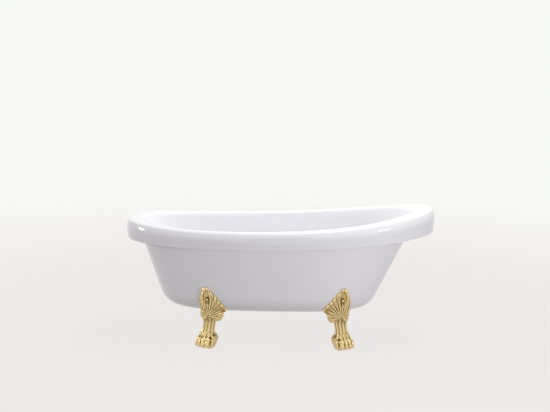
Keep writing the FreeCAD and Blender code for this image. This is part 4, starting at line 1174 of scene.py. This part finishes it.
@dataclass
class Feet:
    """The four claw feet and the bolts that hold them."""

    skins: Skins
    sizes: FootSizes = field(default_factory=FootSizes)
    bolt_first: float = 0.100
    bolt_pitch: float = 0.028
    bolt_head: Pair = (0.0075, 0.0053)
    bolt_shank: float = 0.0039

    def build(self) -> None:
        """Build both front feet, mirror them to the rear and dress all four."""
        for end in End:
            front = ClawFoot(end, self.skins, self.sizes).build()
            mesh = front.data.copy()
            mesh.transform(Matrix.Scale(-1.0, 4, Vector((0.0, 1.0, 0.0))))
            mesh.flip_normals()
            rear = placed(front.name.replace("front", "rear"), mesh)
            for made, side in ((front, Side.FRONT), (rear, Side.REAR)):
                dress(made, GOLD, ["%s_%s_end_foot" % (side.name.lower(), end.name.lower())], "bath")
        self.build_bolts()

    def bolt_places(self) -> List[Triple]:
        """Give the places of the bolts' axes under the bath."""
        places = []
        for end in End:
            foot = ClawFoot(end, self.skins, self.sizes)
            for k in range(2):
                spot = foot.place(np.array([-self.bolt_first - k * self.bolt_pitch, 0.0, 0.0]))
                places += [tuple(spot), (spot[0], -spot[1], 0.0)]
        return places

    def build_bolts(self) -> None:
        """Set a hexagon bolt with its shank at each place, by Geometry Nodes."""
        seat = self.skins.rim.base - self.sizes.tongue_thick
        tree = bpy.data.node_groups.new("bolt_setting", "GeometryNodeTree")
        face = tree.interface
        face.new_socket("Geometry", in_out="INPUT", socket_type="NodeSocketGeometry")
        settings = {}
        for label, kind, value in (
                ("Head Radius", "Float", self.bolt_head[0]), ("Head Height", "Float", self.bolt_head[1]),
                ("Shank Radius", "Float", self.bolt_shank),
                ("Shank Length", "Float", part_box("foot_bolts")[1].z - seat),
                ("Finish", "Material", PAINT.of(ZINC))):
            socket = face.new_socket(label, in_out="INPUT", socket_type="NodeSocket" + kind)
            settings[socket.identifier] = value
        face.new_socket("Geometry", in_out="OUTPUT", socket_type="NodeSocketGeometry")
        source = tree.nodes.new("NodeGroupInput").outputs
        join = tree.nodes.new("GeometryNodeJoinGeometry")
        for sides, radius, depth, sign in ((6, "Head Radius", "Head Height", -1.0),
                                           (24, "Shank Radius", "Shank Length", 1.0)):
            bar = add_node(tree, "GeometryNodeMeshCylinder", {
                "Vertices": sides, "Radius": source[radius], "Depth": source[depth]})
            spot = add_node(tree, "ShaderNodeCombineXYZ", {
                "Z": combined(tree, "MULTIPLY", source[depth], 0.5 * sign)})
            shift = add_node(tree, "GeometryNodeTransform", {
                "Geometry": bar.outputs["Mesh"], "Translation": spot.outputs["Vector"]})
            feed(tree, join, {"Geometry": shift.outputs["Geometry"]})
        on_points = add_node(tree, "GeometryNodeInstanceOnPoints", {
            "Points": source["Geometry"], "Instance": join.outputs["Geometry"]})
        real = add_node(tree, "GeometryNodeRealizeInstances", {"Geometry": on_points.outputs["Instances"]})
        zinced = add_node(tree, "GeometryNodeSetMaterial", {
            "Geometry": real.outputs["Geometry"], "Material": source["Finish"]})
        add_node(tree, "NodeGroupOutput", {"Geometry": zinced.outputs["Geometry"]})
        points = np.array([(x, y, seat) for x, y, _ in self.bolt_places()])
        made = grown("foot_bolt_set", points, tree, settings)
        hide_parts("foot_bolts")
        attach(made, "bath")
        LOG.info("%s: %d faces", made.name, len(made.data.polygons))


def grown(name: str, points: np.ndarray, tree: Tree, settings: Dict[str, object]
          ) -> Piece:
    """Grow a piece on points with a Geometry Nodes tree and keep the plain mesh.

    Args:
        name: The piece's name.
        points: The points that the tree starts from.
        tree: The tree.
        settings: Values by the identifiers of the tree's inputs.

    Returns:
        The finished piece.
    """
    seed = mesh_object(name + "_points", points, [])
    modifier = seed.modifiers.new("grow", "NODES")
    modifier.node_group = tree
    for identifier, value in settings.items():
        modifier[identifier] = value
    return baked(seed, name)


# ---- turned fittings ---------------------------------------------------------------------------------
def rounded(profile: Sequence[Pair], radius: float, steps: int = 4) -> List[Pair]:
    """Round the corners of an open profile.

    Args:
        profile: (radius, height) pairs.
        radius: The rounding, cut back where a side is short.
        steps: Steps of each rounding.

    Returns:
        The profile with its inner corners rounded.
    """
    points = [np.array(p, float) for p in profile]
    out = [points[0]]
    for before, corner, after in zip(points, points[1:], points[2:]):
        back, ahead = before - corner, after - corner
        reach = min(radius, np.linalg.norm(back) * 0.45, np.linalg.norm(ahead) * 0.45)
        start = corner + back / np.linalg.norm(back) * reach
        end = corner + ahead / np.linalg.norm(ahead) * reach
        for k in range(steps + 1):
            t = k / steps
            out.append((1 - t) ** 2 * start + 2 * t * (1 - t) * corner + t ** 2 * end)
    out.append(points[-1])
    return [tuple(p) for p in out]


def lathe(name: str, profile: Sequence[Pair], base: Vector, axis: Vector, closed: bool,
          shape: Callable[[np.ndarray, float, float], np.ndarray] = None) -> Piece:
    """Turn a profile about an axis.

    Args:
        name: The piece's name.
        profile: (radius, height) pairs.
        base: The axis's origin.
        axis: The axis's way.
        closed: Whether the profile closes on itself, as for a ring; else its ends lie on the axis.
        shape: Changes the radii around, given the angles, the radius and the height.

    Returns:
        The turned piece.
    """
    turn = axis.to_track_quat("Z", "Y").to_matrix()
    count = 128
    angles = 2 * np.pi * np.arange(count) / count
    patch = Patchwork()
    rings = []
    for radius, height in profile:
        radii = np.full(count, radius) if shape is None else shape(angles, radius, height)
        spots = np.stack([radii * np.cos(angles), radii * np.sin(angles), np.full(count, height)], 1)
        rings.append(patch.ring(spots @ np.array(turn).T + np.array(base)))
    patch.bands(rings)
    if closed:
        patch.band(rings[-1], rings[0])
    else:
        patch.cap(rings[0], True)
        patch.cap(rings[-1], False)
    made = patch.make(name, 35.0)
    face_outwards(made)
    return made


@dataclass
class WasteAndOverflow:
    """The chrome flange and plug in the bathing floor, and the knob on the foot-end wall."""

    skins: Skins
    flange: float = 0.040
    bore: float = 0.0195
    neck: float = 0.024
    plug: float = 0.031
    bezel: float = 0.033
    bezel_bore: float = 0.015
    bezel_thick: float = 0.004
    bezel_gap: float = 0.0009
    knob: float = 0.031
    knob_depth: float = 0.013
    standoff: float = 0.002
    grips: int = 8
    flange_seat: float = 0.0015
    web_half: float = 0.002
    web_tall: float = 0.008
    web_drop: float = 0.016
    bezel_neck: float = 0.0235
    bezel_end: float = -0.016
    grip_depth: float = 0.0024
    grip_edge: float = 0.007
    pole: float = 0.0006
    seat_height: float = 0.545
    seat_lean_deg: float = 26.0

    @staticmethod
    def plate(made: Piece, node: str, body: str) -> None:
        """Give a piece its chrome and put it in its node's place."""
        dress(made, CHROME, [node], body)

    def build_flange(self) -> None:
        """Build the waste's flange with its strainer cross."""
        low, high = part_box("waste_flange")
        base, rise = Vector((self.skins.waste_x, 0.0, 0.0)), high.z
        under = self.skins.basin_form.base + self.flange_seat
        profile = rounded([(self.bore, low.z), (self.neck, low.z), (self.neck, under), (self.flange, under),
                           (self.flange - 0.005, rise), (self.bore + 0.006, rise),
                           (self.bore, rise - 0.004), (self.bore, low.z + 0.001)], 0.0012)
        self.plate(lathe("waste_flange_ring", profile, base, Vector(UP), True), "waste_flange", "bath")
        top, reach = rise - self.web_drop, self.bore + 0.001
        section = [(-self.web_half, top - self.web_tall), (self.web_half, top - self.web_tall),
                   (self.web_half, top), (-self.web_half, top)]
        patch = Patchwork()
        for along in (np.array([1.0, 0.0, 0.0]), np.array([0.0, 1.0, 0.0])):
            beside = np.cross(UP, along)
            patch.tube([np.array([np.array(base) + along * at + beside * b + UP * z for b, z in section])
                        for at in (-reach, reach)])
        cross = patch.make("strainer_cross")
        face_outwards(cross)
        self.plate(cross, "waste_flange", "bath")

    def build_plug(self) -> None:
        """Build the plug's domed cap."""
        low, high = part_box("plug_cap")
        edge, tall = 0.0022, high.z - low.z
        profile = [(0.0008, 0.0), (self.plug - 0.0012, 0.0), (self.plug, 0.0008), (self.plug, edge)]
        profile += [(self.plug * math.cos(angle) + self.pole, edge + (tall - edge) * math.sin(angle))
                    for angle in np.pi / 2 * np.arange(1, 13) / 12]
        base = Vector((self.skins.waste_x, 0.0, low.z))
        self.plate(lathe("plug_dome", profile, base, Vector(UP), False), "plug_cap", "plug")

    def build_overflow(self) -> None:
        """Build the bezel and the gripped knob on the bathing wall."""
        lean = math.radians(self.seat_lean_deg)
        normal = Vector((math.cos(lean), 0.0, math.sin(lean)))
        seat = Vector((-float(self.skins.basin_form.reach(self.seat_height)[0]), 0.0, self.seat_height))
        inner, outer, neck = self.bezel_bore, self.bezel, self.bezel_neck
        bezel = rounded([(inner, self.bezel_end), (neck, self.bezel_end), (neck, self.bezel_gap),
                         (outer, self.bezel_gap), (outer - 0.002, self.bezel_thick),
                         (inner, self.bezel_thick), (inner, self.bezel_end + 0.001)], 0.0008)
        self.plate(lathe("overflow_ring", bezel, seat, normal, True), "overflow_bezel", "bath")
        base = self.bezel_thick + self.standoff
        top = base + self.knob_depth
        knob = rounded([(self.pole, base), (self.knob - 0.001, base), (self.knob, base + 0.004),
                        (self.knob - 0.0008, top - 0.0035), (self.knob - 0.006, top - 0.0004),
                        (self.knob - 0.012, top - 0.0016), (self.pole, top - 0.0008)], 0.002)
        self.plate(lathe("overflow_turn_knob", knob, seat, normal, False, self.gripped),
                   "overflow_knob", "knob")

    def gripped(self, angles: np.ndarray, radius: float, height: float) -> np.ndarray:
        """Scoop finger grips out of the knob's rim."""
        share = np.clip((radius - self.knob + self.grip_edge) / 0.006, 0, 1)
        return radius - self.grip_depth * share * (0.5 + 0.5 * np.cos(self.grips * angles)) ** 2.2

    def build(self) -> None:
        """Build every seen fitting."""
        self.build_flange()
        self.build_plug()
        self.build_overflow()


@dataclass
class HiddenPieces:
    """The pieces between the skins, which keep their CAD forms."""

    finishes: Dict[str, Finish] = field(default_factory=lambda: {
        "floor_board": BOARD, "front_side_rail": ZINC, "rear_side_rail": ZINC,
        "foot_end_cross_rail": ZINC, "head_end_cross_rail": ZINC, "rail_nut_plates": ZINC,
        "waste_top_seal": RUBBER, "waste_lower_seal": RUBBER, "waste_body": PLASTIC,
        "waste_tail_pipe": PLASTIC, "plug_seal": RUBBER, "plug_stem": ZINC, "plug_lifter": PLASTIC,
        "overflow_seal": RUBBER, "overflow_body": PLASTIC, "knob_spindle": PLASTIC,
        "overflow_hose": HOSE, "hose_nuts": PLASTIC, "cable_sheath": SHEATH})

    def dress(self) -> None:
        """Give each CAD node its finish."""
        for node, finish in self.finishes.items():
            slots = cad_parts[node].data.materials
            slots.clear()
            slots.append(PAINT.of(finish))
            LOG.info("%s: %s", node, finish.name)


# ---- room and camera -----------------------------------------------------------------------------------
@dataclass(frozen=True)
class Lamp:
    """A soft rectangular lamp: place and aim, width and height, watts, and whether gloss shows it."""

    name: str
    place: Triple
    aim: Triple
    size: Pair
    power: float
    colour: Triple = (1.0, 1.0, 1.0)
    reflected: bool = True

    def hang(self) -> None:
        """Put the lamp in the scene."""
        data = bpy.data.lights.new(self.name, "AREA")
        data.shape = "RECTANGLE"
        data.size, data.size_y = self.size
        data.energy = self.power
        data.color = self.colour
        made = placed(self.name, data)
        made.location = self.place
        made.rotation_euler = (Vector(self.aim) - Vector(self.place)).to_track_quat("-Z", "Y").to_euler()
        made.visible_camera = False
        made.visible_glossy = self.reflected


LAMPS = (
    Lamp("ceiling_light", (0.6, 0.15, 3.2), (0.1, 0.2, 0.4), (3.0, 1.2), 70.0),
    Lamp("front_light", (1.00, -1.75, 0.62), (0.45, 0.0, 0.45), (1.0, 0.8), 8.6, (0.98, 0.98, 1.0), False),
    Lamp("right_window", (2.9, -2.9, 1.36), (0.2, 0.0, 0.45), (0.55, 0.40), 7.0, (0.97, 0.98, 1.0)),
    Lamp("left_window", (-3.6, -0.75, 1.3), (-0.6, 0.0, 0.5), (0.6, 0.6), 19.0, (1.0, 0.97, 0.94)))


@dataclass
class Room:
    """Plain floor, soft light and the camera of the photograph."""

    focal_px: float = 819.43
    picture_px: float = 550.0
    sensor: float = 36.0
    camera_at: Triple = (-0.0175, -4.5244, 1.4398)
    pitch_deg: float = 8.82
    yaw_deg: float = -0.21
    roll_deg: float = 0.79
    floor_colour: Triple = (0.36, 0.35, 0.35)
    floor_near: Triple = (0.871, 0.850, 0.833)
    backdrop: Triple = (0.939, 0.947, 0.905)
    floor_plain: float = 0.93
    floor_half: float = 150.0
    tone_fade: Pair = (2.2, 6.0)
    shadow_fade: Pair = (1.3, 3.2)
    ambient: Triple = (0.54, 0.53, 0.55)

    def build_camera(self) -> None:
        """Set the camera that was fitted to the photograph."""
        pitch, yaw, roll = (math.radians(a) for a in (self.pitch_deg, self.yaw_deg, self.roll_deg))
        ahead = Vector((math.sin(yaw) * math.cos(pitch), math.cos(yaw) * math.cos(pitch), -math.sin(pitch)))
        right = ahead.cross(Vector((0, 0, 1))).normalized()
        up = right.cross(ahead)
        x = right * math.cos(roll) + up * math.sin(roll)
        y = up * math.cos(roll) - right * math.sin(roll)
        data = bpy.data.cameras.new("camera")
        data.sensor_width = self.sensor
        data.lens = self.sensor * self.focal_px / self.picture_px
        camera = placed("camera", data)
        turn = Matrix((x, y, -ahead)).transposed().to_4x4()
        camera.matrix_world = Matrix.Translation(self.camera_at) @ turn
        bpy.context.scene.camera = camera

    @staticmethod
    def seen_ray(tree: Tree) -> Socket:
        """Give 1 for a ray that shows the background: from the camera, or off metal, or through glass."""
        path = tree.nodes.new("ShaderNodeLightPath")
        seen = path.outputs["Is Camera Ray"]
        for kind in ("Is Glossy Ray", "Is Transmission Ray"):
            seen = combined(tree, "MAXIMUM", path.outputs[kind], seen)
        return seen

    def build_world(self) -> None:
        """Light from all round, and a pale background where the camera looks past the bath."""
        world = bpy.data.worlds.new("studio")
        bpy.context.scene.world = world
        world.use_nodes = True
        tree = world.node_tree
        tree.nodes.clear()
        light, seen = (add_node(tree, "ShaderNodeBackground", {"Color": (*colour, 1.0), "Strength": 1.0})
                       for colour in (self.ambient, self.backdrop))
        mix = add_node(tree, "ShaderNodeMixShader", {
            "Fac": self.seen_ray(tree), 1: light.outputs["Background"], 2: seen.outputs["Background"]})
        add_node(tree, "ShaderNodeOutputWorld", {"Surface": mix.outputs["Shader"]})

    def paint_floor(self) -> bpy.types.Material:
        """Make the floor's material: pale, with a faint shadow by the bath, and even further off."""
        material = Finish("pale_floor", self.floor_colour, roughness=0.9).build()
        tree = material.node_tree
        place = tree.nodes.new("ShaderNodeTexCoord")
        far = tree.nodes.new("ShaderNodeVectorMath")
        far.operation = "LENGTH"
        feed(tree, far, {0: place.outputs["Object"]})
        spans = []
        for first, last, low in ((*self.tone_fade, 0.0), (*self.shadow_fade, self.floor_plain)):
            span = tree.nodes.new("ShaderNodeMapRange")
            span.interpolation_type = "SMOOTHSTEP"
            feed(tree, span, {"From Min": first, "From Max": last, "To Min": low,
                              "Value": far.outputs["Value"]})
            spans.append(span.outputs["Result"])
        tone, plain = spans
        colour = colour_mix(tree, tone, (*self.floor_near, 1.0), (*self.backdrop, 1.0))
        glow = add_node(tree, "ShaderNodeEmission", {"Color": colour})
        mix = add_node(tree, "ShaderNodeMixShader", {
            "Fac": combined(tree, "MULTIPLY", self.seen_ray(tree), plain),
            1: tree.nodes["Principled BSDF"].outputs["BSDF"], 2: glow.outputs["Emission"]})
        feed(tree, tree.nodes["Material Output"], {"Surface": mix.outputs["Shader"]})
        return material

    def build_floor(self) -> None:
        """Lay the pale floor."""
        half = self.floor_half
        corners = np.array([(-half, -half, 0.0), (half, -half, 0.0), (half, half, 0.0), (-half, half, 0.0)])
        floor = mesh_object("studio_floor", corners, [(0, 1, 2, 3)])
        floor.data.materials.append(self.paint_floor())

    def build(self) -> None:
        """Set the camera, floor and lights."""
        self.build_camera()
        self.build_world()
        self.build_floor()
        for lamp in LAMPS:
            lamp.hang()
        bpy.context.scene.view_settings.view_transform = "Standard"


def main() -> None:
    """Build the dressed bath and its room."""
    logging.basicConfig(level=logging.INFO, format="%(name)s: %(message)s")
    Room().build()
    skins = Skins()
    skins.build()
    Feet(skins).build()
    WasteAndOverflow(skins).build()
    HiddenPieces().dress()
    bpy.context.view_layer.update()


if __name__ == "__main__":
    main()
